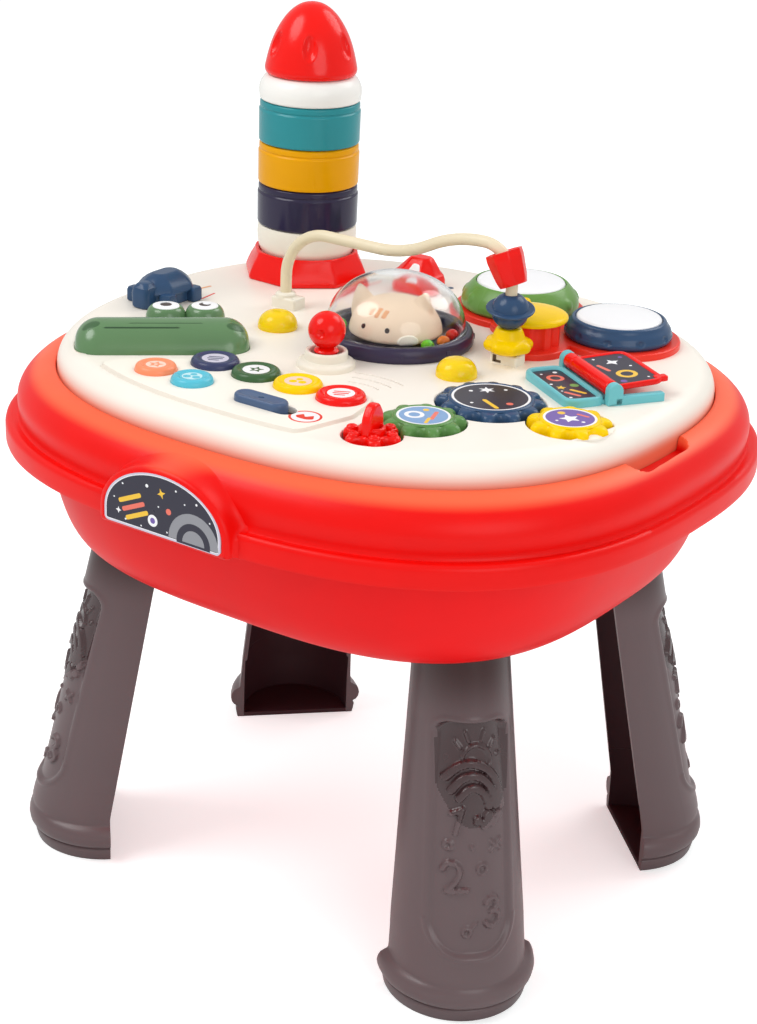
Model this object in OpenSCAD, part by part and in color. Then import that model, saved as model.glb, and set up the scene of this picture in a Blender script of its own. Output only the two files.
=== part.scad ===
// Musical activity table for a small child.
// Millimetres. The origin is on the floor under the middle of the table, +X is to the
// right and +Y to the back as seen from the badge side, and +Z is up.

/* [Table outline] */
// Width of the table over the lip
table_w = 428; // [400:1:470]
// Depth of the table over the lip
table_d = 396; // [380:1:440]
// Squareness of the lip outline, where 2 is an ellipse
lip_squareness = 2.6; // [2.3:0.05:3.2]
// Squareness of the toy panel outline, where 2 is an ellipse
panel_squareness = 2.45; // [2.3:0.05:3]
// Squareness of the tub outline, where 2 is an ellipse
tub_squareness = 3; // [2.6:0.05:3.2]
// Height of the lip's lower edge over the floor
lip_z = 273; // [250:1:300]
// Height of the lip band
lip_h = 14; // [10:1:18]
// Height of the playing surface over the lip's lower edge
deck_rise = 60; // [58:1:66]
// Height of the seam between the rim and the panel over the lip's lower edge
seam_rise = 44.5; // [42:0.5:46]
// Distance from the lip's edge in to the seam
seam_inset = 25; // [24:0.5:28]
// Depth of the tub under the lip
tub_depth = 77; // [65:1:90]
// Distance from the lip's edge in to the tub's wall
tub_inset = 30; // [28:0.5:34]

/* [Walls and clearances] */
// Wall of the tub, the rim and the legs
wall = 3; // [2.5:0.1:3.5]
// Thickness of the toy panel
deck_wall = 3; // [2.5:0.1:3.5]
// Gap around pieces that drop into the panel
seat_gap = 0.3; // [0.2:0.05:0.5]
// Gap around pieces that move in the panel
moving_gap = 0.8; // [0.5:0.1:1.2]
// Radial clearance of a pin that turns in its hole
running_gap = 0.05; // [0.02:0.01:0.09]

/* [Legs] */
// Distance from the middle to a foot's inner face, along X
leg_x = 134.5; // [125:0.5:145]
// Distance from the middle to a foot's inner face, along Y
leg_y = 100; // [92:0.5:110]
// Half the width of a foot on the floor
foot_half_w = 42; // [38:0.5:46]
// How far a foot reaches out from its inner face
foot_reach = 45; // [40:0.5:50]
// Half the width of a leg under the tub
leg_top_half_w = 27; // [24:0.5:32]
// How far a leg reaches out under the tub
leg_top_reach = 38.5; // [36:0.5:40]
// Height over the floor where a leg starts to lean in
lean_start_z = 28; // [26:1:40]
// How far a leg leans in for each millimetre of height
lean_rate = 0.186; // [0.15:0.002:0.2]
// Height of the top of the foot's rounded band
foot_band_z = 23; // [20:0.5:25]
// How far the foot's band stands out
foot_band_bulge = 4; // [2:0.5:6]
// Radius of the tenon on top of a leg
tenon_r = 11; // [8:0.5:12]

/* [Rocket] */
// Rocket axis along X
rocket_x = -124.5; // [-128:0.5:-118]
// Rocket axis along Y
rocket_y = 85.5; // [80:0.5:90]
// Radius of the stacking rings
ring_r = 32.2; // [29:0.1:34]
// Height of one stacking ring
ring_h = 26.5; // [22:0.5:30]
// Height of the white top ring
top_ring_h = 16; // [14:0.5:20]
// Height of the finned base
rocket_base_h = 17; // [14:0.5:20]
// Radius of the finned base at its foot
rocket_base_r = 41; // [37:0.5:42]
// Height from the foot of the base to the first ring
first_ring_z = 34; // [30:0.5:38]
// Radius of the nose cone
nose_r = 29; // [26:0.5:30]
// Height of the nose cone
nose_h = 44.5; // [40:0.5:55]
// Radius of the peg that holds the rings
peg_r = 11; // [8:0.5:13]

/* [Dome and joystick] */
// Dome axis along Y
dome_y = 9; // [6:0.5:12]
// Radius of the dome's base ring
dome_ring_r = 47; // [45:0.5:48]
// Height of the dome's base ring
dome_ring_h = 9; // [7:0.5:12]
// Radius of the clear dome
dome_r = 42; // [40:0.5:43]
// Height of the clear dome over its ring
dome_h = 32; // [28:0.5:36]
// Radius of the cat's head
cat_r = 28; // [24:0.5:29]
// Joystick axis along X
stick_x = -2.5; // [-8:0.5:0]
// Joystick axis along Y
stick_y = -56.5; // [-58:0.5:-54]
// Radius of the joystick's ball
stick_ball_r = 10.8; // [9:0.1:11]
// Height of the ball's middle over the panel
stick_ball_z = 21.5; // [21.5:0.5:26]

/* [Gears] */
// Large gear axis along X
gear_x = 103.5; // [103:0.5:107]
// Large gear axis along Y
gear_y = -47; // [-50:0.5:-45]
// Distance between two teeth along the pitch circle
tooth_pitch = 15.1; // [14.5:0.1:15.5]
// Height of the gear faces over the panel
gear_rise = 4; // [3:0.5:6]
// Depth of the gear well in the panel
gear_well = 8; // [6:0.5:9]

/* [Drums] */
// Large drum axis along X
drum_x = 26; // [25:0.5:29]
// Large drum axis along Y
drum_y = 106.5; // [106:0.5:110]
// Radius of the large drum at its foot
drum_r = 36.5; // [34:0.5:38]
// Height of the large drum over its base plate
drum_h = 16; // [14:0.5:20]
// Small drum axis along X
small_drum_x = 102.5; // [102:0.5:106]
// Small drum axis along Y
small_drum_y = 95; // [95:0.5:98]
// Radius of the small drum at its foot
small_drum_r = 32.4; // [31:0.2:33]
// Height of the small drum over its base plate
small_drum_h = 12; // [10:0.5:14]
// Thickness of the drums' base plate
drum_plate = 4; // [3:0.5:5]
// Turning disc axis along X
disc_x = 68.5; // [68:0.5:72]
// Turning disc axis along Y
disc_y = 49.5; // [49:0.5:52]
// Radius of the turning disc
disc_r = 22; // [18:0.5:22.5]

/* [Bead arch] */
// Distance of the arch plane behind the middle
arch_y = 18; // [16:0.5:20]
// Left foot of the arch along X
arch_left = -89; // [-96:0.5:-86]
// Right foot of the arch along X
arch_right = 73; // [73:0.5:76]
// Height of the arch's low left stretch over the panel
arch_low = 50; // [48:0.5:56]
// Height of the arch's crest over the panel
arch_high = 68.5; // [64:0.5:72]
// Radius of the arch's rod
arch_r = 3.5; // [3.2:0.1:4.2]

/* [Buttons] */
// Radius of a large button
button_r = 14; // [12:0.25:14.25]
// Radius of a small button
small_button_r = 12; // [10:0.25:12.5]
// Distance from one large button to the next
button_pitch = 29.5; // [29.5:0.25:31]
// Height of a button over its plate
button_rise = 4; // [3:0.5:6]
// Travel of a button
button_travel = 2.5; // [1.5:0.25:2.5]
// Half the length of the mode slider
slider_half_l = 17; // [14:0.5:17.5]
// Half the width of the mode slider
slider_half_w = 6.5; // [5:0.25:7]
// Travel of the mode slider
slider_travel = 6; // [4:0.5:8]

/* [Frog, turtle and racer] */
// Middle of the frog's roller along X
frog_x = -96; // [-98:0.5:-95]
// Distance from the lip's front edge back to the middle of the frog's roller
frog_y = 107.5; // [106:0.5:109]
// Turn of the frog's roller from the X direction, in degrees
frog_turn = 42; // [39:1:45]
// Radius of the frog's roller
frog_r = 18.6; // [17:0.1:18.8]
// Length of the frog's roller
frog_l = 101; // [96:1:102]
// Travel of the turtle and the racer
figure_travel = 8; // [5:0.5:10]

/* [Book] */
// Middle of the book along X
book_x = 132; // [130:0.5:134]
// Middle of the book along Y
book_y = 12; // [10:0.5:13]
// Turn of the book's spine from the X direction, in degrees
book_turn = -33; // [-36:1:-30]
// Length of the book along its spine
book_l = 58; // [52:0.5:60]
// Width of the left page
left_page_w = 26; // [22:0.5:28]
// Width of the right page
page_w = 34; // [30:0.5:35]
// Radius of the page's barrel at the spine
spine_r = 4.6; // [4:0.1:5]
// Tilt of the right page at rest, in degrees
page_tilt = 3; // [0:1:8]

/* [Hidden] */
$fa = 6;
$fs = 0.8;
outline_points = 72;
leg_points = 24;
cut = 1;

// Heights
deck_z = lip_z + deck_rise;
seam_z = lip_z + seam_rise;
deck_under = deck_z - deck_wall;
ledge_z = seam_z - 13;
cover_h = 2.5;
cover_z = ledge_z - wall - cover_h;
inside_h = deck_under - cover_z - cover_h;
tub_floor_z = lip_z - tub_depth;

// Gears: tooth counts and pitch radii
blue_teeth = 12;
green_teeth = 9;
yellow_teeth = 9;
red_teeth = 6;
function pitch_r(teeth) = teeth * tooth_pitch / (2 * PI);
green_dir = 256.8;
red_dir = 255.8;
lobe_r = 3.1;
lobe_in = 0.9;
root_in = 3;
gear_well_z = deck_z - gear_well;
function polar(r, a) = [r * cos(a), r * sin(a)];
blue_at = [gear_x, gear_y];
green_at = blue_at + polar(pitch_r(blue_teeth) + pitch_r(green_teeth), green_dir);
yellow_at = blue_at + polar(pitch_r(blue_teeth) + pitch_r(yellow_teeth), 0);
red_at = green_at + polar(pitch_r(green_teeth) + pitch_r(red_teeth), red_dir);
function gear_outer_r(teeth) = pitch_r(teeth) - lobe_in + lobe_r;

// Keypad: places, measured from the lip's front edge
front_y = -table_d / 2;
plate_rise = 2;
large_row_y = front_y + 98;
small_row_y = front_y + 65.5;
navy_button_at = [-48.5, large_row_y];
green_button_at = navy_button_at + [button_pitch, 0];
yellow_button_at = green_button_at + [button_pitch, 0];
red_button_at = yellow_button_at + [button_pitch, 0];
coral_button_at = [-66.5, small_row_y + 2];
sky_button_at = [-38.5, small_row_y];
slider_at = [12.5, front_y + 62.5];
speaker_at = [34, front_y + 138];

// Rings of the rocket
rings_z = deck_z + first_ring_z;
yellow_ring_z = rings_z + ring_h;
teal_ring_z = yellow_ring_z + ring_h;
white_ring_z = teal_ring_z + ring_h;
nose_z = white_ring_z + top_ring_h;
peg_gap = 0.6;
peg_top = nose_z + nose_h * 0.35;

stick_at = [stick_x, stick_y];
light_left_at = [-66.5, -19];
light_right_at = [63.5, -21];
light_r = 12.2;
turtle_at = [-152, -26];
racer_at = [-52, 109];
frog_axis_drop = 2.6;

// ---------------------------------------------------------------- helpers

// Solid through a stack of outlines that all have the same number of points
module loft(rings) {
    n = len(rings[0]);
    last = len(rings) - 1;
    bottom = [[for (i = [0:n - 1]) i]];
    top = [[for (i = [n - 1:-1:0]) last * n + i]];
    near = [for (k = [0:last - 1], i = [0:n - 1])
        [k * n + i, (k + 1) * n + i, (k + 1) * n + (i + 1) % n]];
    far = [for (k = [0:last - 1], i = [0:n - 1])
        [k * n + i, (k + 1) * n + (i + 1) % n, k * n + (i + 1) % n]];
    polyhedron([for (ring = rings) each ring], concat(bottom, top, near, far), convexity = 8);
}

function sign_of(v) = v < 0 ? -1 : 1;
function oval_power(v, squareness) = sign_of(v) * pow(abs(v), 2 / squareness);

// The table's outline changes from the lip's squareness to the panel's on its way in
function squareness(inset) = lip_squareness
    + (panel_squareness - lip_squareness) * min(1, max(0, inset / seam_inset));

// Outline with a squareness, moved in from the lip's edge, at height z
function oval(inset, z, square) = [for (i = [0:outline_points - 1])
    let (a = 360 * i / outline_points)
    [(table_w / 2 - inset) * oval_power(cos(a), square),
     (table_d / 2 - inset) * oval_power(sin(a), square), z]];
function outline(inset, z) = oval(inset, z, squareness(inset));

// Solid through levels of [inset, z], from the bottom up
module oval_solid(levels) {
    loft([for (level = levels) outline(level[0], level[1])]);
}

// Slot or plate with round ends, its length along X
module stadium(half_l, half_w) {
    translate([-(half_l - half_w), -half_w]) square([2 * (half_l - half_w), 2 * half_w]);
    for (side = [-1, 1]) translate([side * (half_l - half_w), 0]) circle(half_w);
}

// Plate with round corners
module round_plate(l, w, r) {
    translate([-l / 2 + r, -w / 2]) square([l - 2 * r, w]);
    translate([-l / 2, -w / 2 + r]) square([l, w - 2 * r]);
    for (x = [-1, 1], y = [-1, 1])
        translate([x * (l / 2 - r), y * (w / 2 - r)]) circle(r);
}

module at_place(place, z) {
    translate([place[0], place[1], z]) children();
}

// ---------------------------------------------------------------- tub, rim and panel

// Levels of the tub's surface, moved in by a wall
function tub_levels(w) = [
    [tub_inset + 84 + w, tub_floor_z + w], [tub_inset + 52 + w, tub_floor_z + 2 + w],
    [tub_inset + 32 + w, tub_floor_z + 6.5 + w], [tub_inset + 18 + w, tub_floor_z + 15 + w],
    [tub_inset + 9.5 + w, tub_floor_z + 28 + w], [tub_inset + 3.5 + w, tub_floor_z + 48 + w],
    [tub_inset + w, lip_z]];
flange_h = 3;
flange_z = lip_z + lip_h - wall - flange_h;
socket_top = tub_floor_z + 27;
socket_wall = 3.5;
tenon_gap = 0.3;
tenon_u = -17;
socket_r = tenon_r + tenon_gap + socket_wall;
leg_screw_r = 2;
screw_gap = 0.15;

module tub_skin(w, top_z) {
    loft([for (level = concat(tub_levels(w), [[tub_inset + w, top_z]]))
        oval(level[0], level[1], tub_squareness)]);
}

// Children are placed in the frame of one leg: +X points outwards from its inner face
module at_leg(side_x, side_y) {
    translate([side_x * leg_x, side_y * leg_y, 0])
        rotate([0, 0, atan2(side_y, side_x)]) children();
}

module table_bowl() {
    color("#e5201c") difference() {
        union() {
            difference() {
                union() {
                    tub_skin(0, flange_z + flange_h);
                    oval_solid([[wall + 0.4, flange_z], [wall + 0.4, flange_z + flange_h]]);
                }
                tub_skin(wall, flange_z + flange_h + cut);
            }
            for (x = [-1, 1], y = [-1, 1]) at_leg(x, y)
                translate([tenon_u, 0, tub_floor_z + 7])
                    cylinder(r = socket_r, h = socket_top - tub_floor_z - 7);
        }
        for (x = [-1, 1], y = [-1, 1]) at_leg(x, y) translate([tenon_u, 0, 0]) {
            translate([0, 0, tub_floor_z - 10])
                cylinder(r = tenon_r + tenon_gap, h = socket_top - tub_floor_z + 10 - wall);
            translate([0, 0, socket_top - wall - cut])
                cylinder(r = leg_screw_r + screw_gap, h = wall + 2 * cut);
        }
    }
}

// Rim: a band around the lip, then a roll that rises to the seam with the panel
lip_top = lip_z + lip_h;
roll_h = seam_z - lip_top;
rim_outside = [[0, lip_z], [0, lip_top - 2], [2, lip_top], [7, lip_top + 1.5],
    [6, lip_top + 0.42 * roll_h], [8, lip_top + 0.63 * roll_h], [12, lip_top + 0.83 * roll_h],
    [17, lip_top + 0.94 * roll_h], [seam_inset, seam_z]];
rim_inside = [[wall, lip_z - cut], [wall, lip_top - wall], [7 + wall, lip_top - wall + 0.5],
    [6 + wall, lip_top + 0.4 * roll_h], [8 + wall, lip_top + 0.58 * roll_h],
    [12 + wall, lip_top + 0.75 * roll_h], [19, lip_top + 0.84 * roll_h]];
ledge_inset = seam_inset + 11;
hood_half_w = 44.5;
hood_face = table_d / 2 + 5.5;
hood_back = table_d / 2 - 20;
badge_half_w = 40.3;
badge_t = 2;
notch_at = [table_w / 2 - seam_inset, -14];
notch_half_l = 28;
notch_half_w = 9;
notch_depth = 8;

// Upright half-round shape of the badge and its hood, in X and Z
module badge_shape(half_w, straight, rise) {
    polygon(concat([[-half_w, 0], [half_w, 0]],
        [for (t = [0:6:180]) [half_w * cos(t), straight + rise * sin(t)]]));
}

module badge_block(half_w, straight, rise, from_y, to_y, z) {
    translate([0, -to_y, z]) rotate([90, 0, 0])
        linear_extrude(from_y - to_y) badge_shape(half_w, straight, rise);
}

module rim_shell() {
    color("#ef2a20") difference() {
        union() {
            difference() {
                union() {
                    oval_solid(rim_outside);
                    badge_block(hood_half_w, 9, 31, hood_face, hood_back, lip_z);
                }
                oval_solid(rim_inside);
                badge_block(hood_half_w - wall, 9 - wall, 31, hood_face - badge_t - wall,
                    hood_back - cut, lip_z - cut);
            }
            oval_solid([[18.5, ledge_z - wall], [18.5, lip_top + 0.86 * roll_h]]);
            intersection() {
                oval_solid(rim_outside);
                at_place(notch_at, ledge_z - wall) rotate([0, 0, 90])
                    linear_extrude(seam_z - ledge_z + wall + cut)
                        stadium(notch_half_l + wall, notch_half_w + wall);
            }
        }
        oval_solid([[seam_inset, ledge_z], [seam_inset, seam_z + cut]]);
        oval_solid([[ledge_inset, ledge_z - wall - cut], [ledge_inset, ledge_z + cut]]);
        badge_block(badge_half_w + seat_gap, 8, 27.5, hood_face + cut, hood_face - badge_t, lip_z + 1.5);
        at_place(notch_at, seam_z - notch_depth) rotate([0, 0, 90])
            linear_extrude(notch_depth + cut) stadium(notch_half_l, notch_half_w);
    }
}

module badge_plate() {
    color("#c9c4d6")
        badge_block(badge_half_w, 8 - seat_gap, 27.5, hood_face, hood_face - badge_t, lip_z + 1.5 + seat_gap);
}

// Toy panel: its skirt stands on the rim's ledge, and its edge rolls up to the deck
panel_inset = seam_inset + 0.4;
edge_roll = 12.5;
function panel_levels(w, under) = [for (t = [0:15:90])
    [panel_inset + w + edge_roll * (1 - cos(t)), seam_z + (deck_z - under - seam_z) * sin(t)]];
// The panel's screws: each one's turn around the outline and its distance in from the lip
screw_turns = [[12, 52], [94, 47], [170, 47], [206, 50], [270, 40], [323, 47]];
screw_places = [for (t = screw_turns)
    [(table_w / 2 - t[1]) * oval_power(cos(t[0]), panel_squareness),
     (table_d / 2 - t[1]) * oval_power(sin(t[0]), panel_squareness)]];
panel_boss_r = 4;
panel_screw_r = 1.5;
well_wall = 1.6;
small_slot_w = 3.2;
drum_peg_places = [[drum_x, drum_y + 28], [drum_x - 20, drum_y - 20],
    [small_drum_x + 24, small_drum_y], [disc_x - 13, disc_y]];
drum_peg_r = 3;
spindle_r = 3;
eye_places = [[3, 32], [26, 32]];
eye_r = 12.2;
peg_hole_r = 3.2;
trunnion_r = 2;
trunnion_l = 2.2;

module gear_well_shape(extra) {
    for (g = [[blue_at, blue_teeth], [green_at, green_teeth], [yellow_at, yellow_teeth],
        [red_at, red_teeth]])
        translate(g[0]) circle(gear_outer_r(g[1]) + moving_gap + extra);
}

// Half profile of the frog's roller, grown by a gap, turned around Y
module roller_profile(gap) {
    end_r = 14 + gap;
    r = frog_r + gap;
    half_l = frog_l / 2 + gap;
    translate([0, -half_l]) square([r - end_r, 2 * half_l]);
    translate([0, -half_l + end_r]) square([r, 2 * (half_l - end_r)]);
    for (side = [-1, 1]) intersection() {
        translate([r - end_r, side * (half_l - end_r)]) circle(end_r);
        translate([0, -half_l]) square([r, 2 * half_l]);
    }
}

// Children are placed in the frame of the frog: X along the roller, origin on its axis
module at_frog() {
    translate([frog_x, front_y + frog_y, deck_z - frog_axis_drop]) rotate([0, 0, frog_turn]) children();
}

module roller_shape(gap) {
    at_frog() rotate([0, 90, 0]) rotate_extrude() roller_profile(gap);
}

module keypad_shape() {
    intersection() {
        polygon([for (p = outline(panel_inset + edge_roll + 1, 0)) [p[0], p[1]]]);
        translate([0, front_y]) polygon([[-100, 38], [58, 38], [63, 46], [61, 80], [55, 108],
            [46, 114], [-46, 114], [-57, 101], [-96, 67], [-101, 58]]);
    }
}

module speaker_slots() {
    for (r = [27:8:43]) at_place(speaker_at + [0, -36], deck_under - cut) rotate([0, 0, 67])
        rotate_extrude(angle = 46) translate([r, 0]) square([1.4, deck_wall + 2 * cut]);
}

module figure_slot(place, turn) {
    at_place(place, deck_under - cut) rotate([0, 0, turn])
        translate([-figure_travel - 5.5, -small_slot_w])
            cube([figure_travel + 11, 2 * small_slot_w, deck_wall + 2 * cut]);
}

module button_places() {
    for (place = [navy_button_at, green_button_at, yellow_button_at, red_button_at])
        translate(place) circle(button_r + moving_gap / 2);
    for (place = [coral_button_at, sky_button_at])
        translate(place) circle(small_button_r + moving_gap / 2);
}

module top_panel() {
    color("#f7efe0") difference() {
        union() {
            difference() {
                oval_solid(concat([[panel_inset, ledge_z]], panel_levels(0, 0)));
                oval_solid(concat([[panel_inset + deck_wall, ledge_z - cut]],
                    panel_levels(deck_wall, deck_wall)));
            }
            translate([0, 0, deck_under]) linear_extrude(deck_wall + plate_rise) keypad_shape();
            translate([0, 0, gear_well_z - well_wall])
                linear_extrude(gear_well + well_wall - deck_wall + 0.5) gear_well_shape(well_wall);
            for (g = [blue_at, green_at, yellow_at, red_at])
                at_place(g, gear_well_z - 6) cylinder(r = 6, h = 5);
            intersection() {
                roller_shape(moving_gap + well_wall);
                translate([-table_w / 2, -table_d / 2, 0]) cube([table_w, table_d, deck_z - 0.5]);
            }
            for (place = screw_places) at_place(place, cover_z + cover_h)
                cylinder(r = panel_boss_r, h = inside_h + 0.5);
        }
        roller_shape(moving_gap);
        translate([0, 0, gear_well_z]) linear_extrude(gear_well + cut) gear_well_shape(0);
        for (g = [blue_at, green_at, yellow_at, red_at])
            at_place(g, gear_well_z - 6 - cut) cylinder(r = spindle_r, h = 8);
        translate([0, 0, deck_under - cut])
            linear_extrude(deck_wall + plate_rise + 2 * cut) button_places();
        at_place(slider_at, deck_under - cut) translate([slider_travel / 2, 0, 0])
            linear_extrude(deck_wall + plate_rise + 2 * cut)
                stadium(slider_half_l + slider_travel / 2 + moving_gap / 2,
                    slider_half_w + moving_gap / 2);
        speaker_slots();
        figure_slot(turtle_at, 90);
        figure_slot(racer_at, 0);
        for (place = drum_peg_places) at_place(place, deck_under - cut)
            cylinder(r = drum_peg_r + screw_gap, h = deck_wall + 2 * cut);
        for (place = [light_left_at, light_right_at]) at_place(place, deck_under - cut)
            cylinder(r = light_r - 3, h = deck_wall + 2 * cut);
        at_frog() for (eye = eye_places) translate([eye[0], eye[1], frog_axis_drop - deck_wall - cut])
            cylinder(r = peg_hole_r, h = deck_wall + 2 * cut);
        at_frog() rotate([0, 90, 0]) translate([0, 0, -frog_l / 2 - 5])
            cylinder(r = trunnion_r + running_gap, h = frog_l + 10);
        at_place(stick_at, deck_under - cut) cylinder(r = 9.5, h = deck_wall + 2 * cut);
        at_place([0, dome_y], deck_under - cut) cylinder(r = 8, h = deck_wall + 2 * cut);
        at_place([rocket_x, rocket_y], deck_under - cut) cylinder(r = peg_hole_r, h = deck_wall + 2 * cut);
        for (place = screw_places) at_place(place, cover_z)
            cylinder(r = panel_screw_r + screw_gap, h = 16);
        book_pegs(peg_hole_r, deck_under - cut, deck_wall + 2 * cut);
        for (x = [arch_left, arch_right]) at_place([x, arch_y], deck_under - cut)
            cylinder(r = arch_r + screw_gap, h = deck_wall + 2 * cut);
    }
}

// Cover under the panel, pulled up against the rim's ledge by the panel's screws
cell_r = 7;
cell_l = 49.5;
cell_pitch = 14.8;
battery_at = [-30, 70];
battery_half = [27.5, 23.5];
battery_h = 16;

module battery_block(extra, z, h) {
    at_place(battery_at, z) translate([-battery_half[0] - extra, -battery_half[1] - extra, 0])
        cube([2 * (battery_half[0] + extra), 2 * (battery_half[1] + extra), h]);
}

module panel_back_cover() {
    color("#d9d4c8") difference() {
        union() {
            oval_solid([[seam_inset - 1, cover_z], [seam_inset - 1, cover_z + cover_h]]);
            battery_block(1.6, cover_z, cover_h + battery_h + 1.6);
        }
        battery_block(0, cover_z - cut, cover_h + battery_h + cut);
        for (place = screw_places) at_place(place, cover_z - cut)
            cylinder(r = panel_screw_r + screw_gap, h = cover_h + 2 * cut);
    }
}

module battery_door() {
    color("#cfcabd") battery_block(-seat_gap, cover_z, cover_h);
}

module battery_cells() {
    color("#3f8f5a") for (row = [-1:1])
        at_place(battery_at + [0, row * cell_pitch], cover_z + cover_h + seat_gap + cell_r)
            rotate([0, 90, 0]) {
                translate([0, 0, -cell_l / 2]) cylinder(r = cell_r, h = cell_l);
                translate([0, 0, cell_l / 2]) cylinder(r = 2.7, h = 1.5);
            }
}

// Screw with a pan head, its shaft pointing up from the head
module pan_screw(r, l, head_r, head_h) {
    translate([0, 0, -head_h]) cylinder(r = head_r, h = head_h);
    cylinder(r = r, h = l);
}

module panel_screws() {
    color("#b9bcc0") for (place = screw_places) at_place(place, cover_z)
        pan_screw(panel_screw_r, 15, 3.2, 2);
}

module leg_screws() {
    color("#b9bcc0") for (x = [-1, 1], y = [-1, 1]) at_leg(x, y)
        translate([tenon_u, 0, socket_top]) rotate([180, 0, 0]) pan_screw(leg_screw_r, 18, 4, 2.5);
}

// ---------------------------------------------------------------- legs

leg_cap_z = tub_floor_z - 9;
tenon_top = socket_top - wall - 0.5;

shaft_z = 2 * foot_band_z;
function lean(z) = -lean_rate * max(0, z - lean_start_z);
function leg_narrowing(z) = (z - shaft_z) / (tub_floor_z + 9 - shaft_z);
function leg_half_w(z) = foot_half_w - 3.5 + (leg_top_half_w - foot_half_w + 3.5) * leg_narrowing(z);
function leg_reach(z) = foot_reach + (leg_top_reach - foot_reach) * leg_narrowing(z);

// Half-round section of a leg, made thinner by a wall and pushed back by an opening
function leg_section(z, half_w, reach, w, open) = [for (i = [0:leg_points])
    let (a = 180 * i / leg_points - 90)
    [lean(z) - open + (reach - w + open) * cos(a), (half_w - w) * sin(a), z]];
// Section of the foot with how far it stands out at its sides and at its front
function foot_section(z, side, front, w, open) =
    leg_section(z, foot_half_w + side, foot_reach + front, w, open);
function shaft_section(z, w, open) = leg_section(z, leg_half_w(z), leg_reach(z), w, open);

module leg_outside() {
    loft([foot_section(0, -0.6, -0.6, 0, 0), foot_section(foot_band_z * 0.32, 0.5, 0.8, 0, 0),
        foot_section(foot_band_z * 0.37, -0.6, -0.2, 0, 0),
        foot_section(foot_band_z * 0.41, foot_band_bulge - 2.6, 1.8, 0, 0),
        foot_section(foot_band_z * 0.67, foot_band_bulge, foot_band_bulge, 0, 0),
        foot_section(foot_band_z * 0.93, foot_band_bulge - 2.4, 2.8, 0, 0),
        foot_section(foot_band_z, -2, 1.6, 0, 0), foot_section(foot_band_z + 4, -2.6, 1.8, 0, 0),
        shaft_section(shaft_z, 0, 0), shaft_section(tub_floor_z + 25, 0, 0)]);
}

// Channel behind a leg's wall, over the plate that closes the foot
module leg_inside() {
    loft([foot_section(wall, -2, -0.5, wall, cut), foot_section(foot_band_z, -2.6, -0.5, wall, cut),
        shaft_section(shaft_z, wall, cut), shaft_section(leg_cap_z, wall, cut)]);
}

module leg(side_x, side_y) {
    color("#68585a") difference() {
        union() {
            difference() {
                at_leg(side_x, side_y) difference() {
                    leg_outside();
                    leg_inside();
                }
                tub_skin(-seat_gap, lip_z + cut);
                at_leg(side_x, side_y) translate([tenon_u, 0, tub_floor_z + 7 - seat_gap])
                    cylinder(r = socket_r + seat_gap, h = socket_top - tub_floor_z);
            }
            at_leg(side_x, side_y) translate([tenon_u, 0, leg_cap_z + 4])
                cylinder(r = tenon_r, h = tenon_top - leg_cap_z - 4);
        }
        at_leg(side_x, side_y) translate([tenon_u, 0, leg_cap_z + 8])
            cylinder(r = leg_screw_r + screw_gap, h = tenon_top - leg_cap_z);
    }
}

// ---------------------------------------------------------------- rocket

module at_rocket(z) {
    translate([rocket_x, rocket_y, z]) children();
}

module ring_bore(z, h) {
    at_rocket(z - cut) cylinder(r = peg_r + peg_gap, h = h + 2 * cut);
}

module rocket_base() {
    color("#ef2d22") at_rocket(deck_z) difference() {
        cylinder(r1 = rocket_base_r, r2 = ring_r + 2, h = rocket_base_h);
        translate([0, 0, rocket_base_h - 4]) cylinder(r = ring_r - 2, h = 4 + cut);
        translate([0, 0, -cut]) cylinder(r = rocket_base_r - 9, h = rocket_base_h - 7);
        translate([0, 0, -cut]) cylinder(r = peg_r + seat_gap, h = rocket_base_h + 2 * cut);
        for (turn = [0:90:270]) rotate([90, 0, turn + 10]) translate([0, 0, 24])
            linear_extrude(20) {
                circle(8);
                translate([-8, -2]) square([16, 2]);
            }
    }
}

collar_z = deck_z + rocket_base_h - 4 + seat_gap;
module rocket_collar() {
    h = first_ring_z - rocket_base_h + 4 - 2 * seat_gap;
    color("#f1ece0") {
        at_rocket(collar_z) rotate_extrude() polygon([[0, 0], [ring_r - 6, 0], [ring_r - 4, 3],
            [ring_r - 1.5, h * 0.45], [ring_r - 0.4, h * 0.75], [ring_r - 0.8, h], [0, h]]);
        at_rocket(deck_z - deck_wall) cylinder(r = 3, h = deck_wall);
        at_rocket(deck_z) cylinder(r = peg_r, h = peg_top - deck_z);
    }
}

// Ring with a narrow step under its upper edge
module plain_ring(z) {
    h = ring_h - seat_gap;
    difference() {
        at_rocket(z) rotate_extrude() polygon([[0, 0], [ring_r - 1, 0], [ring_r, 1], [ring_r, h - 4.5],
            [ring_r - 0.6, h - 4], [ring_r - 0.4, h - 1], [ring_r - 1.4, h], [0, h]]);
        ring_bore(z, ring_h);
    }
}

module ring_navy() {
    color("#2f2a45") plain_ring(rings_z);
}

module ring_yellow() {
    color("#f2b40c") plain_ring(yellow_ring_z);
}

module ring_teal() {
    color("#3f9aa2") plain_ring(teal_ring_z);
}

module ring_white() {
    h = top_ring_h - seat_gap;
    color("#f3f1ec") difference() {
        at_rocket(white_ring_z) rotate_extrude() polygon([[0, 0], [ring_r - 1.5, 0],
            [ring_r, h * 0.3], [ring_r - 0.3, h * 0.55], [ring_r - 2.2, h * 0.85],
            [ring_r - 4.5, h], [0, h]]);
        ring_bore(white_ring_z, top_ring_h);
    }
}

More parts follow.
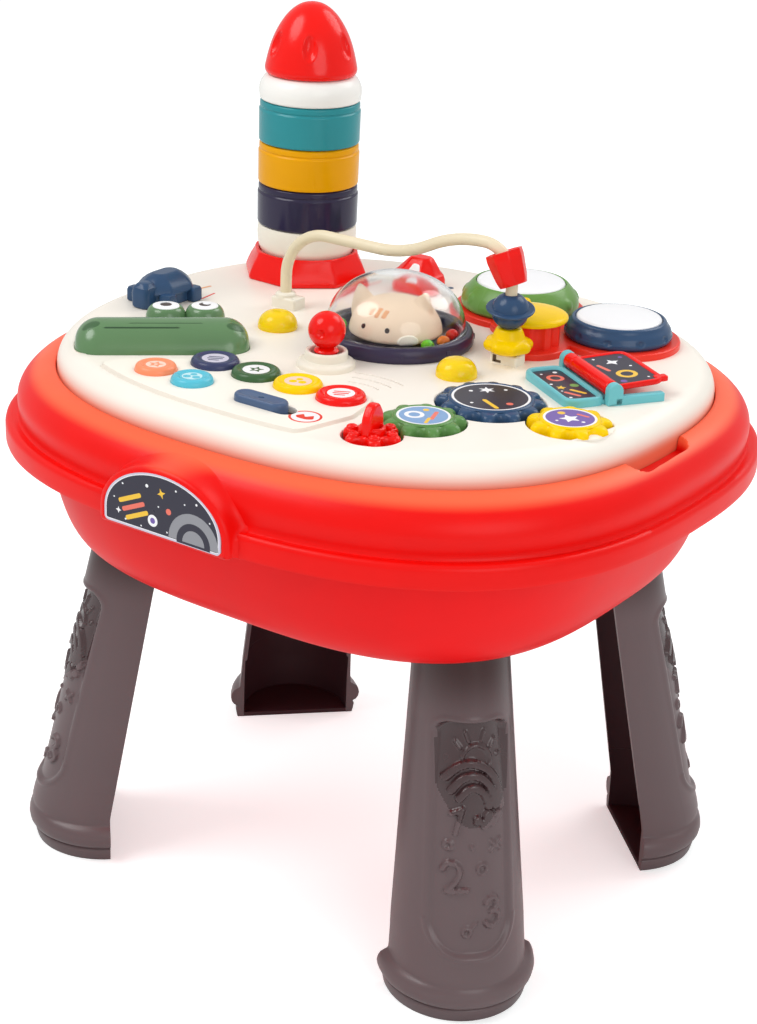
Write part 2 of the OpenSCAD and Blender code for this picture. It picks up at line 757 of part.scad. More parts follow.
dent_turns = [0:60:300];
module nose_cone() {
    color("#ef2d22") difference() {
        at_rocket(nose_z) rotate_extrude() polygon(concat([[0, 0], [nose_r - 2, 0]],
            [for (t = [0:6:90]) [nose_r * pow(cos(t), 0.8), 3 + (nose_h - 3) * sin(t)]]));
        at_rocket(nose_z - cut) cylinder(r = peg_r + peg_gap, h = peg_top - nose_z + 1.5);
        for (turn = dent_turns) at_rocket(nose_z + nose_h * 0.42) rotate([0, 0, turn + 15])
            translate([nose_r + 1.5, 0, 0]) sphere(6);
    }
}

// ---------------------------------------------------------------- bead arch

bend_left = 30;
bend_right = 20;
wave_r = 80;
wave_turn = acos(1 - (arch_high - arch_low) / (2 * wave_r));
wave_l = 2 * wave_r * sin(wave_turn);
wave_x = arch_right - bend_right - wave_l;
arch_bottom = -deck_wall;
left_rise = arch_low - bend_left;
right_rise = arch_high - bend_right;

// Part of a bent rod around a middle point in the arch plane, from one angle on by a turn
module rod_bend(x, z, r, from, turn) {
    translate([x, 0, z]) rotate([90, 0, 0]) rotate([0, 0, from])
        rotate_extrude(angle = turn) translate([r, 0]) circle(arch_r);
}

module at_arch() {
    translate([0, arch_y, deck_z]) children();
}

module arch_tube() {
    color("#e9dbb9") at_arch() {
        translate([arch_left, 0, arch_bottom]) cylinder(r = arch_r, h = left_rise - arch_bottom);
        rod_bend(arch_left + bend_left, left_rise, bend_left, 90, 90);
        translate([arch_left + bend_left, 0, arch_low]) rotate([0, 90, 0])
            cylinder(r = arch_r, h = wave_x - arch_left - bend_left);
        rod_bend(wave_x, arch_low + wave_r, wave_r, 269.6, wave_turn + 0.8);
        rod_bend(wave_x + wave_l, arch_high - wave_r, wave_r, 89.6, wave_turn + 0.4);
        rod_bend(arch_right - bend_right, right_rise, bend_right, 0, 90);
        translate([arch_right, 0, arch_bottom]) cylinder(r = arch_r, h = right_rise - arch_bottom);
    }
}

module arch_feet() {
    color("#efe6d3") at_arch() difference() {
        union() {
            translate([arch_left - 7, -6, 0]) cube([18, 12, 7]);
            translate([arch_right - 9, -5.5, 0]) cube([18, 11, 6]);
        }
        for (x = [arch_left, arch_right]) translate([x, 0, -cut])
            cylinder(r = arch_r + screw_gap, h = 9);
        translate([arch_right - 8, -6, 1]) cube([3, 4, 3]);
    }
}

// Beads: each bore leaves room for the rod to pass
bead_bore = arch_r + 0.6;
module bead_yellow() {
    color("#f5b914") at_arch() translate([arch_right, 0, 6 + seat_gap]) difference() {
        rotate_extrude() polygon([[0, 0], [8, 0], [13, 2.5], [14.5, 6], [13, 8], [9.5, 9.5],
            [8.5, 12.5], [7, 15], [0, 15]]);
        translate([0, 0, -cut]) cylinder(r = bead_bore, h = 18);
    }
}

module bead_blue() {
    color("#3c6488") at_arch() translate([arch_right, 0, 31.5]) difference() {
        union() {
            intersection() {
                sphere(11);
                translate([-12, -12, -9.8]) cube([24, 24, 19.6]);
            }
            rotate([12, 8, 0]) rotate_extrude() polygon([[0, -1.2], [13.5, -1.2], [14.5, 0],
                [13.5, 1.2], [0, 1.2]]);
        }
        translate([0, 0, -12]) cylinder(r = bead_bore, h = 24);
    }
}

barrel_half_l = 10;
barrel_bore = arch_r + 2.4;
barrel_tilt = 24;
barrel_in = 1.4;
module at_barrel() {
    at_arch() translate([arch_right - bend_right, 0, right_rise]) rotate([0, -barrel_tilt, 0])
        translate([bend_right - barrel_in, 0, 0]) children();
}

module bead_red() {
    color("#ef2d22") at_barrel() difference() {
        rotate_extrude($fn = 8) polygon([[0, -barrel_half_l], [8, -barrel_half_l],
            [10, -barrel_half_l + 3], [12, 2], [12, barrel_half_l - 3], [10.5, barrel_half_l],
            [0, barrel_half_l]]);
        translate([0, 0, -barrel_half_l - cut]) cylinder(r = barrel_bore, h = 2 * barrel_half_l + 2 * cut);
    }
}

// ---------------------------------------------------------------- dome with the cat

dome_wall = 1.8;
dome_span = dome_r - 0.5;
neck_r = 5;
ring_floor = 2;

module at_dome(z) {
    translate([0, dome_y, z]) children();
}

module dome_ring() {
    color("#30294a") at_dome(deck_z) difference() {
        rotate_extrude() polygon([[0, 0], [dome_ring_r - 1, 0], [dome_ring_r, 2],
            [dome_ring_r - 0.6, dome_ring_h * 0.55], [dome_ring_r - 2.5, dome_ring_h * 0.9],
            [dome_ring_r - 4.5, dome_ring_h], [0, dome_ring_h]]);
        translate([0, 0, ring_floor]) cylinder(r = dome_r - 3.5, h = dome_ring_h);
        translate([0, 0, dome_ring_h - 1.5]) cylinder(r = dome_r + seat_gap, h = dome_ring_h);
        translate([0, 0, -cut]) cylinder(r = neck_r + running_gap, h = 5);
    }
}

// Half profile of the dome's outside or inside, from its foot up to its middle
function dome_line(span, h) = [for (t = [0:5:85]) [span * pow(cos(t), 0.85), 1.5 + h * sin(t)]];

module clear_dome() {
    inner = dome_line(dome_span - dome_wall, dome_h - dome_wall);
    color("#dfe9ee") at_dome(deck_z + dome_ring_h - 1.5) rotate_extrude()
        polygon(concat([[dome_span - dome_wall, 0], [dome_r, 0], [dome_r, 1.5]],
            dome_line(dome_span, dome_h), [[0, 1.5 + dome_h], [0, 1.5 + dome_h - dome_wall]],
            [for (i = [len(inner) - 1:-1:0]) inner[i]]));
}

cat_lift = 3;
cat_h = 22;
module cat_head() {
    color("#f1e6d6") at_dome(deck_z) {
        translate([0, 0, ring_floor + cat_lift]) rotate_extrude() polygon(concat(
            [[0, 0], [cat_r - 1.5, 0]],
            [for (t = [6:7:90]) [cat_r * pow(cos(t), 0.85), cat_h * sin(t)]], [[0, cat_h]]));
        for (side = [-1, 1]) rotate([0, 0, 15]) translate([side * 16, 0, ring_floor + cat_lift + 8])
            rotate([0, side * 15, 0]) cylinder(r1 = 9, r2 = 1.5, h = 19);
        translate([0, 0, ring_floor + seat_gap]) cylinder(r = 9, h = cat_lift);
        translate([0, 0, -6]) cylinder(r = neck_r, h = 10);
        translate([0, 0, -8]) cylinder(r = 7, h = 3);
    }
}

popper_places = [[33, -8], [34, 3], [30, 15], [-33, 9], [-31, -13]];
module popper_balls() {
    color("#7fd321") for (p = popper_places)
        at_dome(deck_z + ring_floor + 4) translate([p[0], p[1], 0]) sphere(3.9);
}

// ---------------------------------------------------------------- joystick

module at_stick(z) {
    at_place(stick_at, deck_z + z) children();
}

stick_pivot = 1;
module joystick_socket() {
    color("#f1e9d8") at_stick(0) difference() {
        rotate_extrude() polygon([[0, 0], [17, 0], [17, 2.5], [15.8, 4], [12.4, 4.6],
            [12.4, 9], [11.4, 10], [0, 10]]);
        translate([0, 0, -cut]) cylinder(r = 9.2, h = 12);
    }
}

module joystick_gimbal() {
    color("#b8bec4") {
        at_stick(stick_pivot) {
            difference() {
                translate([0, 0, -2]) cylinder(r = 7.4, h = 4);
                translate([0, 0, -3]) cylinder(r = 5, h = 6);
                rotate([90, 0, 0]) translate([0, 0, -10]) cylinder(r = 1 + running_gap, h = 20);
            }
            for (side = [-1, 1]) rotate([0, side * 90, 0]) translate([0, 0, 6.5])
                cylinder(r = 1.1, h = 2.5);
        }
    }
}

module joystick_ball() {
    color("#ef2d22") {
        at_stick(stick_pivot) {
            cylinder(r = 4, h = stick_ball_z - 6);
            translate([0, 0, -2]) cylinder(r = 3, h = 3);
            rotate([90, 0, 0]) translate([0, 0, -7]) cylinder(r = 1, h = 14);
        }
        difference() {
            at_stick(stick_ball_z) sphere(stick_ball_r);
            at_stick(stick_ball_z) rotate([0, 0, -65]) translate([stick_ball_r, 0, 1]) sphere(2.4);
        }
    }
}

// ---------------------------------------------------------------- lights, frog and figures

module light_lenses() {
    color("#f7c911") for (place = [light_left_at, light_right_at]) {
        at_place(place, deck_z) difference() {
            intersection() {
                translate([0, 0, -2.5]) sphere(light_r + 1);
                translate([-light_r, -light_r, 0]) cube([2 * light_r, 2 * light_r, light_r]);
                cylinder(r = light_r, h = light_r);
            }
            translate([0, 0, -3.5]) sphere(light_r - 1);
        }
        at_place(place, deck_under - 1) difference() {
            cylinder(r = light_r - 3.5, h = deck_wall + 6);
            translate([0, 0, -cut]) cylinder(r = light_r - 5, h = deck_wall + 8);
        }
    }
}

module frog_roller() {
    color("#5c9065") {
        roller_shape(0);
        at_frog() rotate([0, 90, 0]) translate([0, 0, -frog_l / 2 - trunnion_l])
            cylinder(r = trunnion_r, h = frog_l + 2 * trunnion_l);
    }
}

module frog_eyes() {
    color("#6f9d74") at_frog() for (eye = eye_places) translate([eye[0], eye[1], frog_axis_drop]) {
        rotate_extrude() polygon([[0, 0], [eye_r - 1, 0], [eye_r, 2], [eye_r, 8], [eye_r - 1.5, 11.5],
            [eye_r - 4, 14], [0, 15]]);
        translate([0, 0, -deck_wall]) cylinder(r = 3, h = deck_wall + 1);
    }
}

// Stem and foot under the panel that hold a figure in its slot
module figure_foot() {
    translate([-5, -2.6, -deck_wall - 2]) cube([10, 5.2, deck_wall + 3.5]);
    translate([-8, -6, -deck_wall - 2.5 - 2 * seat_gap]) cube([16, 12, 2.5]);
}

shell_r = 15;
module turtle_slider() {
    color("#3f5a7d") at_place(turtle_at, deck_z + seat_gap) {
        rotate([0, 0, 90]) figure_foot();
        translate([0, 3.5, 0]) linear_extrude(8) round_plate(24, 34, 8);
        intersection() {
            translate([-20, -20, 7]) cube([40, 50, 20]);
            translate([0, -1, 3.5]) {
                sphere(shell_r);
                translate([0, 9, 0]) sphere(shell_r);
                rotate([-90, 0, 0]) cylinder(r = shell_r, h = 9);
            }
        }
        translate([0, -15, 0]) cylinder(r = 6.8, h = 9);
        translate([0, -15, 9]) sphere(6.7);
        for (x = [-1, 1], y = [-9, 15]) translate([x * 13, y, 0]) cylinder(r = 4.5, h = 9);
    }
}

module racer_slider() {
    color("#e8302a") at_place(racer_at, deck_z + seat_gap) {
        figure_foot();
        linear_extrude(10) round_plate(34, 24, 8);
        translate([0, 0, 10]) cylinder(r1 = 11.5, r2 = 6, h = 10);
    }
}

// ---------------------------------------------------------------- keypad

board_z = deck_z - 16;
board_t = 1.6;
dome_switch_h = 2;
pad_z = deck_z + plate_rise;
flange_out = 0.6;
post_bottom = board_z + board_t + dome_switch_h + button_travel + 0.3;

// Posts between the board and the panel, clear of the buttons' flanges
board_posts = [[-68, front_y + 85], [-20, front_y + 52], [49.5, front_y + 65], [52, front_y + 82],
    navy_button_at + [button_pitch / 2, 10.5], yellow_button_at + [button_pitch / 2, 10.5]];

module board_shape() {
    translate([0, front_y])
        polygon([[-80, 50], [50, 47], [56, 78], [50, 114], [-40, 114], [-80, 80]]);
}

module circuit_board() {
    color("#2f7d4f") {
        translate([0, 0, board_z]) linear_extrude(board_t) board_shape();
        for (p = board_posts) at_place(p, board_z) cylinder(r = 2.5, h = deck_under - board_z);
        for (p = [navy_button_at, green_button_at, yellow_button_at, red_button_at, coral_button_at,
            sky_button_at])
            at_place(p, board_z + board_t) cylinder(r = 3, h = dome_switch_h);
    }
}

module speaker_driver() {
    color("#50555a") at_place(speaker_at, deck_under) {
        translate([0, 0, -3]) cylinder(r = 17, h = 3);
        translate([0, 0, -9]) cylinder(r1 = 9, r2 = 15, h = 6);
        translate([0, 0, -14]) cylinder(r = 9, h = 5);
    }
}

// Button: cap over the pad, flange under the panel and a post down to its switch
module button(place, r) {
    under = -plate_rise - deck_wall - seat_gap;
    at_place(place, pad_z) rotate_extrude() polygon([[0, post_bottom - pad_z], [2.5, post_bottom - pad_z],
        [2.5, under - 1.5], [r + flange_out, under - 1.5], [r + flange_out, under], [r, under],
        [r, button_rise - 1.6], [r - 0.5, button_rise - 0.6], [r - 1.6, button_rise],
        [r - 3, button_rise - 0.3], [r - 4, button_rise - 0.9], [0, button_rise - 0.6]]);
}

module button_navy() {
    color("#3a4163") button(navy_button_at, button_r);
}

module button_green() {
    color("#46693f") button(green_button_at, button_r);
}

module button_yellow() {
    color("#f6b70c") button(yellow_button_at, button_r);
}

module button_red() {
    color("#ef2d22") button(red_button_at, button_r);
}

module button_coral() {
    color("#ff9b73") button(coral_button_at, small_button_r);
}

module button_sky() {
    color("#5ac3d7") button(sky_button_at, small_button_r);
}

module mode_slider() {
    color("#4c6183") at_place(slider_at, pad_z) {
        translate([0, 0, -plate_rise - deck_wall - seat_gap - 1.5])
            linear_extrude(plate_rise + deck_wall + seat_gap + 1.5 + 3)
                stadium(slider_half_l, slider_half_w);
        translate([0, 0, -plate_rise - deck_wall - seat_gap - 1.5]) linear_extrude(1.5)
            stadium(slider_half_l + slider_travel + 3, slider_half_w + 2);
        translate([0, 0, 3]) linear_extrude(1) stadium(slider_half_l - 1, slider_half_w - 1);
    }
}

// ---------------------------------------------------------------- gears

// A gear's turn so that its gaps meet the teeth of the gear that drives it
function mesh_turn(turn, teeth, dir, next_teeth) =
    dir + 180 - (turn - dir) * teeth / next_teeth + 180 / next_teeth;
blue_turn = 0;
green_turn = mesh_turn(blue_turn, blue_teeth, green_dir, green_teeth);
yellow_turn = mesh_turn(blue_turn, blue_teeth, 0, yellow_teeth);
red_turn = mesh_turn(green_turn, green_teeth, red_dir, red_teeth);
gear_bottom = gear_well_z + seat_gap;
face_h = 1;

module gear(place, teeth, turn) {
    at_place(place, gear_bottom) difference() {
        union() {
            rotate([0, 0, turn]) linear_extrude(deck_z + gear_rise - face_h - gear_bottom) {
                circle(pitch_r(teeth) - root_in);
                for (i = [0:teeth - 1]) rotate([0, 0, i * 360 / teeth]) {
                    translate([pitch_r(teeth) - lobe_in, 0]) circle(lobe_r);
                    translate([pitch_r(teeth) - root_in - 2, -lobe_r])
                        square([root_in + 2 - lobe_in, 2 * lobe_r]);
                }
            }
            cylinder(r = pitch_r(teeth) - root_in - 1, h = deck_z + gear_rise - gear_bottom);
        }
        translate([0, 0, -cut]) cylinder(r = spindle_r + running_gap, h = gear_well + cut);
    }
}

module gear_blue() {
    color("#355578") gear(blue_at, blue_teeth, blue_turn);
}

module gear_green() {
    color("#5b8a4b") gear(green_at, green_teeth, green_turn);
}

module gear_yellow() {
    color("#f7b90f") gear(yellow_at, yellow_teeth, yellow_turn);
}

fin_w = 5.5;
fin_h = 18;
module gear_red() {
    color("#ef2d22") {
        gear(red_at, red_teeth, red_turn);
        at_place(red_at, deck_z + gear_rise - face_h) rotate([0, 0, 100]) {
            translate([-9, -fin_w / 2, 0]) cube([18, fin_w, fin_h - 6]);
            translate([-6, -fin_w / 2, 0]) cube([12, fin_w, fin_h - gear_rise + 1]);
        }
    }
}

module gear_axles() {
    color("#b9bcc0") for (g = [blue_at, green_at, yellow_at, red_at])
        at_place(g, gear_well_z - 6) cylinder(r = spindle_r, h = 6 + gear_well - 0.5);
}

// ---------------------------------------------------------------- book

spine_z = 8;
pin_r = 2;
lug_t = 5;
lug_gap = 0.4;
page_t = 3.2;
page_corner = 8;

// Children are placed in the frame of the book: X along the spine, origin on the panel
module at_book() {
    translate([book_x, book_y, deck_z]) rotate([0, 0, book_turn]) children();
}

module book_pegs(r, z, h) {
    at_book() for (x = [-18, 18]) translate([x, -left_page_w / 2 - 3, z - deck_z])
        cylinder(r = r, h = h);
}

module book_cover() {
    color("#66b6bf") difference() {
        union() {
            at_book() {
                translate([0, -left_page_w / 2 - 3.5, 0]) linear_extrude(4)
                    round_plate(book_l, left_page_w - 1, 8);
                translate([-book_l / 2, -6, 0]) cube([book_l, 12, 2.6]);
                translate([book_l / 2 - lug_t / 2, 0, 0]) cube([lug_t, page_w - 3, 5]);
                for (x = [-book_l / 2, book_l / 2]) translate([x - lug_t / 2, -spine_r, 0])
                    cube([lug_t, 2 * spine_r, spine_z + 1.5]);
                for (x = [-book_l / 2, book_l / 2]) translate([x - lug_t / 2, 0, spine_z])
                    rotate([0, 90, 0]) cylinder(r = spine_r, h = lug_t);
            }
            book_pegs(3, deck_z - deck_wall, deck_wall + 1);
        }
        at_book() {
            translate([0, -left_page_w / 2 - 3.5, 3]) linear_extrude(2)
                round_plate(book_l - 6, left_page_w - 7, 5);
            translate([-book_l / 2 - lug_t, 0, spine_z]) rotate([0, 90, 0])
                cylinder(r = pin_r + running_gap, h = book_l + 2 * lug_t);
        }
    }
}

// Right page from the spine outwards, with two round corners and a finger tab
module page_shape(half_l) {
    translate([-half_l, 0]) square([2 * half_l, page_w - page_corner]);
    translate([-half_l + page_corner, 0]) square([2 * (half_l - page_corner), page_w]);
    for (side = [-1, 1])
        translate([side * (half_l - page_corner), page_w - page_corner]) circle(page_corner);
    translate([half_l - page_corner, page_w - page_corner]) square([5, page_corner + 3]);
}

module book_page() {
    half_l = book_l / 2 - lug_t / 2 - lug_gap;
    color("#ef3124") at_book() translate([0, 0, spine_z]) difference() {
        union() {
            rotate([0, 90, 0]) translate([0, 0, -half_l]) cylinder(r = spine_r, h = 2 * half_l);
            rotate([page_tilt, 0, 0]) translate([0, 0, -page_t / 2])
                linear_extrude(page_t) page_shape(half_l - 0.3);
        }
        rotate([0, 90, 0]) translate([0, 0, -half_l - cut])
            cylinder(r = pin_r + running_gap, h = 2 * half_l + 2 * cut);
    }
}

module book_pin() {
    color("#b9bcc0") at_book() translate([-book_l / 2 - lug_t / 2 + 0.5, 0, spine_z])
        rotate([0, 90, 0]) cylinder(r = pin_r, h = book_l + lug_t - 1);
}

// ---------------------------------------------------------------- drums

drum_top_r = drum_r * 0.75;
small_drum_top_r = small_drum_r * 0.79;
skin_lift = 2;

module drum_base() {
    color("#ef3a28") {
        translate([0, 0, deck_z]) linear_extrude(drum_plate) {
            translate([drum_x, drum_y]) circle(drum_r + 4);
            translate([small_drum_x, small_drum_y]) circle(small_drum_r + 5);
            translate([disc_x, disc_y]) circle(disc_r + 2);
            polygon([[drum_x + 8, drum_y - 36], [disc_x - 21, disc_y + 11], [disc_x + 21, disc_y + 9],
                [small_drum_x - 2, small_drum_y - 36], [small_drum_x, small_drum_y],
                [drum_x, drum_y]]);
        }
        at_place([disc_x, disc_y], deck_z + 1) difference() {
            cylinder(r = disc_r - 5, h = 17);
            for (turn = [0:45:315]) rotate([0, 0, turn]) translate([disc_r - 1.5, 0, drum_plate - 1])
                cylinder(r = 6, h = 20);
            translate([0, 0, 5]) cylinder(r = 3 + running_gap, h = 20);
        }
        at_place([drum_x, drum_y], deck_z + 1) cylinder(r = 6, h = drum_plate + drum_h - 4.8);
        at_place([small_drum_x, small_drum_y], deck_z + 1)
            cylinder(r = 6, h = drum_plate + small_drum_h - 4.8);
        for (p = drum_peg_places) at_place(p, deck_under) cylinder(r = drum_peg_r, h = deck_wall + 1);
    }
}

// Hollow drum body that curves in to its skin
module drum_shell(place, r, top_r, h) {
    at_place(place, deck_z + drum_plate) rotate_extrude() polygon([[r - 1, 0], [r, 3], [r - 1, h * 0.45],
        [r - (r - top_r) * 0.4, h * 0.72], [top_r + 1.8, h], [top_r + 0.5, h], [top_r + 0.5, h - 2.5],
        [r - 6, h * 0.5], [r - 4, 0]]);
}

module green_drum_shell() {
    color("#5f9147") drum_shell([drum_x, drum_y], drum_r, drum_top_r, drum_h);
}

module blue_drum_shell() {
    color("#3b5d82") drum_shell([small_drum_x, small_drum_y], small_drum_r, small_drum_top_r, small_drum_h);
}

module drum_skin(place, top_r, h) {
    at_place(place, deck_z + drum_plate) rotate_extrude() polygon([[0, h - 2], [top_r - 4, h - 2],
        [top_r - 4, h - 3.5], [top_r, h - 3.5], [top_r, h], [top_r - 1.5, h + skin_lift * 0.6],
        [top_r * 0.6, h + skin_lift], [0, h + skin_lift]]);
}

module drum_skin_green() {
    color("#f6f5f2") drum_skin([drum_x, drum_y], drum_top_r, drum_h);
}

module drum_skin_blue() {
    color("#f6f5f2") drum_skin([small_drum_x, small_drum_y], small_drum_top_r, small_drum_h);
}

disc_z = deck_z + 18 + seat_gap;
module turning_disc() {
    color("#f8c010") at_place([disc_x, disc_y], disc_z) {
        rotate_extrude() polygon([[0, 0], [disc_r - 1.5, 0], [disc_r, 1.5], [disc_r - 0.5, 3],
            [disc_r - 4, 4.6], [disc_r * 0.5, 5.6], [0, 6]]);
        translate([-disc_r * 0.45, disc_r * 0.35, 3]) cylinder(r1 = 4.5, r2 = 3, h = 6);
        translate([0, 0, -8]) cylinder(r = 3, h = 9);
    }
}

module leg_front_left() {
    leg(-1, -1);
}

module leg_front_right() {
    leg(1, -1);
}

module leg_back_left() {
    leg(-1, 1);
}

module leg_back_right() {
    leg(1, 1);
}

table_bowl();
rim_shell();
top_panel();
panel_back_cover();
panel_screws();
leg_front_left();
leg_front_right();
leg_back_left();
leg_back_right();
leg_screws();
badge_plate();
circuit_board();
speaker_driver();
battery_cells();
battery_door();
rocket_base();
rocket_collar();
ring_navy();
ring_yellow();
ring_teal();
ring_white();
nose_cone();
arch_tube();
arch_feet();
bead_red();
bead_blue();
bead_yellow();
dome_ring();
clear_dome();
cat_head();
popper_balls();
joystick_socket();
joystick_gimbal();
joystick_ball();
light_lenses();
frog_roller();
frog_eyes();
turtle_slider();
racer_slider();
button_coral();
button_sky();
button_navy();
button_green();
button_yellow();
button_red();
mode_slider();
gear_blue();
gear_green();
gear_yellow();
gear_red();
gear_axles();
book_cover();
book_page();
book_pin();
drum_base();
green_drum_shell();
blue_drum_shell();
drum_skin_green();
drum_skin_blue();
turning_disc();
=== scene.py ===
import math

import bmesh
import bpy
from mathutils import Matrix, Vector
from mathutils.bvhtree import BVHTree
from mathutils.geometry import delaunay_2d_cdt


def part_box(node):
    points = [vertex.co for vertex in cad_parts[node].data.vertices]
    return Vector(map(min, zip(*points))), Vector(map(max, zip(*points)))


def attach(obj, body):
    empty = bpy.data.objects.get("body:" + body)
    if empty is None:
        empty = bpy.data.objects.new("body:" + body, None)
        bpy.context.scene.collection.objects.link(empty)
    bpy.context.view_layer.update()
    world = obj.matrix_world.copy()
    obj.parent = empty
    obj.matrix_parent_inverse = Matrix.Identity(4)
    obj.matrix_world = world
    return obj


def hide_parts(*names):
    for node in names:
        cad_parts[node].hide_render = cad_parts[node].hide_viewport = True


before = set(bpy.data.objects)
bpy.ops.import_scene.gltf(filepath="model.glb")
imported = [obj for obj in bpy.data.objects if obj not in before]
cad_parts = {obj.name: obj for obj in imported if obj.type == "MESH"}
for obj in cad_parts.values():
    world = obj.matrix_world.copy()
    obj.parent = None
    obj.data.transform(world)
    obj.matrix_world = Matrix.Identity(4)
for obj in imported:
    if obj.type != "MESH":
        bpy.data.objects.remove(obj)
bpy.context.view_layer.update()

# Lengths are in millimetres up to the moment a mesh is made.
MM = 0.001


# ------------------------------------------------------------------ materials


def linear(rgb):
    """Screen colour, 0 to 255, as the shader's linear colour."""
    return [((c / 255 + 0.055) / 1.055) ** 2.4 if c > 10 else c / 3294.6 for c in rgb]


def noise(nodes, links, place, scale, detail):
    """Fine uneven values all over the object."""
    node = nodes.new("ShaderNodeTexNoise")
    node.inputs["Scale"].default_value = scale
    node.inputs["Detail"].default_value = detail
    links.new(place, node.inputs["Vector"])
    return node.outputs["Fac"]


def spread(nodes, links, source, to=(0.0, 1.0), start=0.0, end=1.0, curve="LINEAR"):
    """The source's start to end spread over another range."""
    node = nodes.new("ShaderNodeMapRange")
    node.interpolation_type = curve
    for socket, value in zip(("From Min", "From Max", "To Min", "To Max"), (start, end, *to)):
        node.inputs[socket].default_value = value
    links.new(source, node.inputs["Value"])
    return node.outputs["Result"]


def mix(nodes, links, factor, a, b):
    """Colour between a and b, which are colours or outputs."""
    node = nodes.new("ShaderNodeMix")
    node.data_type = "RGBA"
    links.new(factor, node.inputs["Factor"])
    for socket, value in ((node.inputs["A"], a), (node.inputs["B"], b)):
        if isinstance(value, bpy.types.NodeSocket):
            links.new(value, socket)
        else:
            socket.default_value = (*value, 1)
    return node.outputs["Result"]


def plastic(name, rgb, rough=0.32, mottle=0.06, skin=0.05, fade=None, **sockets):
    """Moulded plastic: a slightly uneven colour and gloss over a fine skin.
    fade is painted light or shade that changes with height: (colour, height it is full at, height
    it is gone at), in millimetres."""
    made = bpy.data.materials.new(name)
    made.use_nodes = True
    nodes, links = made.node_tree.nodes, made.node_tree.links
    shader = nodes["Principled BSDF"]
    place = nodes.new("ShaderNodeTexCoord").outputs["Object"]

    cloud = noise(nodes, links, place, 38, 3)
    base = linear(rgb)
    darker, lighter = [c * (1 - mottle) for c in base], [min(1, c * (1 + mottle)) for c in base]
    colour = mix(nodes, links, cloud, darker, lighter)
    if fade:
        split = nodes.new("ShaderNodeSeparateXYZ")
        links.new(place, split.inputs["Vector"])
        share = spread(nodes, links, split.outputs["Z"], (0, 1), fade[1] * MM, fade[2] * MM,
                       "SMOOTHSTEP")
        colour = mix(nodes, links, share, linear(fade[0]), colour)
    links.new(colour, shader.inputs["Base Color"])
    gloss = spread(nodes, links, cloud, (rough - 0.06, rough + 0.06))
    links.new(gloss, shader.inputs["Roughness"])

    bump = nodes.new("ShaderNodeBump")
    bump.inputs["Strength"].default_value = skin
    bump.inputs["Distance"].default_value = 0.0004
    links.new(noise(nodes, links, place, 900, 2), bump.inputs["Height"])
    links.new(bump.outputs["Normal"], shader.inputs["Normal"])
    shader.inputs["Specular IOR Level"].default_value = 0.3
    for socket, value in sockets.items():
        shader.inputs[socket.replace("_", " ")].default_value = value
    return made


# The rim's top roll turns orange towards the seam: a painted highlight.
RIM_RED = plastic(
    "red_rim", (238, 8, 4), 0.36, fade=((255, 104, 66), 315.6, 310.2), Specular_IOR_Level=0.2
)
TUB_RED = plastic("red_tub", (240, 8, 12), 0.42, Specular_IOR_Level=0.2)
TOY_RED = plastic("red_gloss", (243, 14, 4), 0.2)
PLATE_RED = plastic("red_plate", (240, 52, 34), 0.3)
# The panel's skirt and lower edge roll are tinted salmon, fading out up the roll: a painted
# reflection of the red rim.
CREAM = plastic("cream_panel", (247, 240, 229), 0.36, 0.02, fade=((232, 124, 92), 314, 328))
KEYPAD = plastic("cream_keypad", (249, 243, 231), 0.38, 0.02)
# The keypad plate's step up is a darker cream: a painted shadow line round the plate.
KEYPAD_STEP_SHADOW = plastic("cream_step_painted_shadow", (234, 225, 211), 0.4, 0.02)
IVORY = plastic("ivory_gloss", (240, 233, 218), 0.25, 0.03)
ROD = plastic("ivory_rod", (233, 219, 188), 0.28, 0.03)
WHITE = plastic("white_gloss", (244, 242, 237), 0.22, 0.02)
SKIN = plastic("drum_white", (243, 243, 245), 0.16, 0.015, 0.02)
# The legs darken to a deep red towards their tops under the tub: painted shade with a painted red
# reflection of the tub.
LEG = plastic(
    "leg_brown", (97, 79, 81), 0.34, 0.05, 0.08, ((50, 16, 16), 204, 168), Specular_IOR_Level=0.5
)
# Darker, glossier brown for the upper part of the sunk panel: painted shade of the deeper recess.
LEG_RECESS_PAINTED_SHADE = plastic("leg_recess_painted_shade", (64, 42, 44), 0.26, 0.05, 0.08, Specular_IOR_Level=0.7)
# Darker brown for the inside of each leg's channel: painted shade.
LEG_INSIDE_PAINTED_SHADE = plastic("leg_inside", (62, 34, 38), 0.55, 0.06, 0.1)
NAVY = plastic("navy_gloss", (48, 76, 110), 0.24)
INDIGO = plastic("indigo_gloss", (46, 40, 66), 0.16)
DOME_RING = plastic("indigo_satin", (54, 46, 72), 0.3)
TEAL = plastic("teal_gloss", (40, 140, 148), 0.2)
AQUA = plastic("aqua_satin", (112, 194, 202), 0.34)
YELLOW = plastic("yellow_gloss", (255, 208, 0), 0.22, Specular_IOR_Level=0.15)
LAMP = plastic("yellow_lens", (250, 208, 18), 0.14, Subsurface_Weight=0.15)
AMBER = plastic("amber_gloss", (232, 162, 0), 0.2, Specular_IOR_Level=0.15)
FROG = plastic("frog_green", (92, 130, 86), 0.2, Specular_IOR_Level=0.6)
FROG_DARK = plastic("frog_shade", (68, 102, 66), 0.3)
DRUM_GREEN = plastic("drum_green", (106, 152, 72), 0.26)
GEAR_GREEN = plastic("gear_green", (92, 140, 74), 0.28)
KEY_GREEN = plastic("key_green", (62, 98, 60), 0.28)
KEY_NAVY = plastic("key_navy", (56, 62, 98), 0.28)
CORAL = plastic("key_coral", (255, 146, 104), 0.28)
SKY = plastic("key_sky", (86, 190, 212), 0.28)
SLATE = plastic("slider_slate", (74, 96, 130), 0.34)
CAT = plastic("cat_cream", (246, 220, 192), 0.5, 0.03)
PAW = plastic("cat_paw", (250, 240, 222), 0.4, 0.03)
BROWN = plastic("print_brown", (58, 40, 34), 0.3)
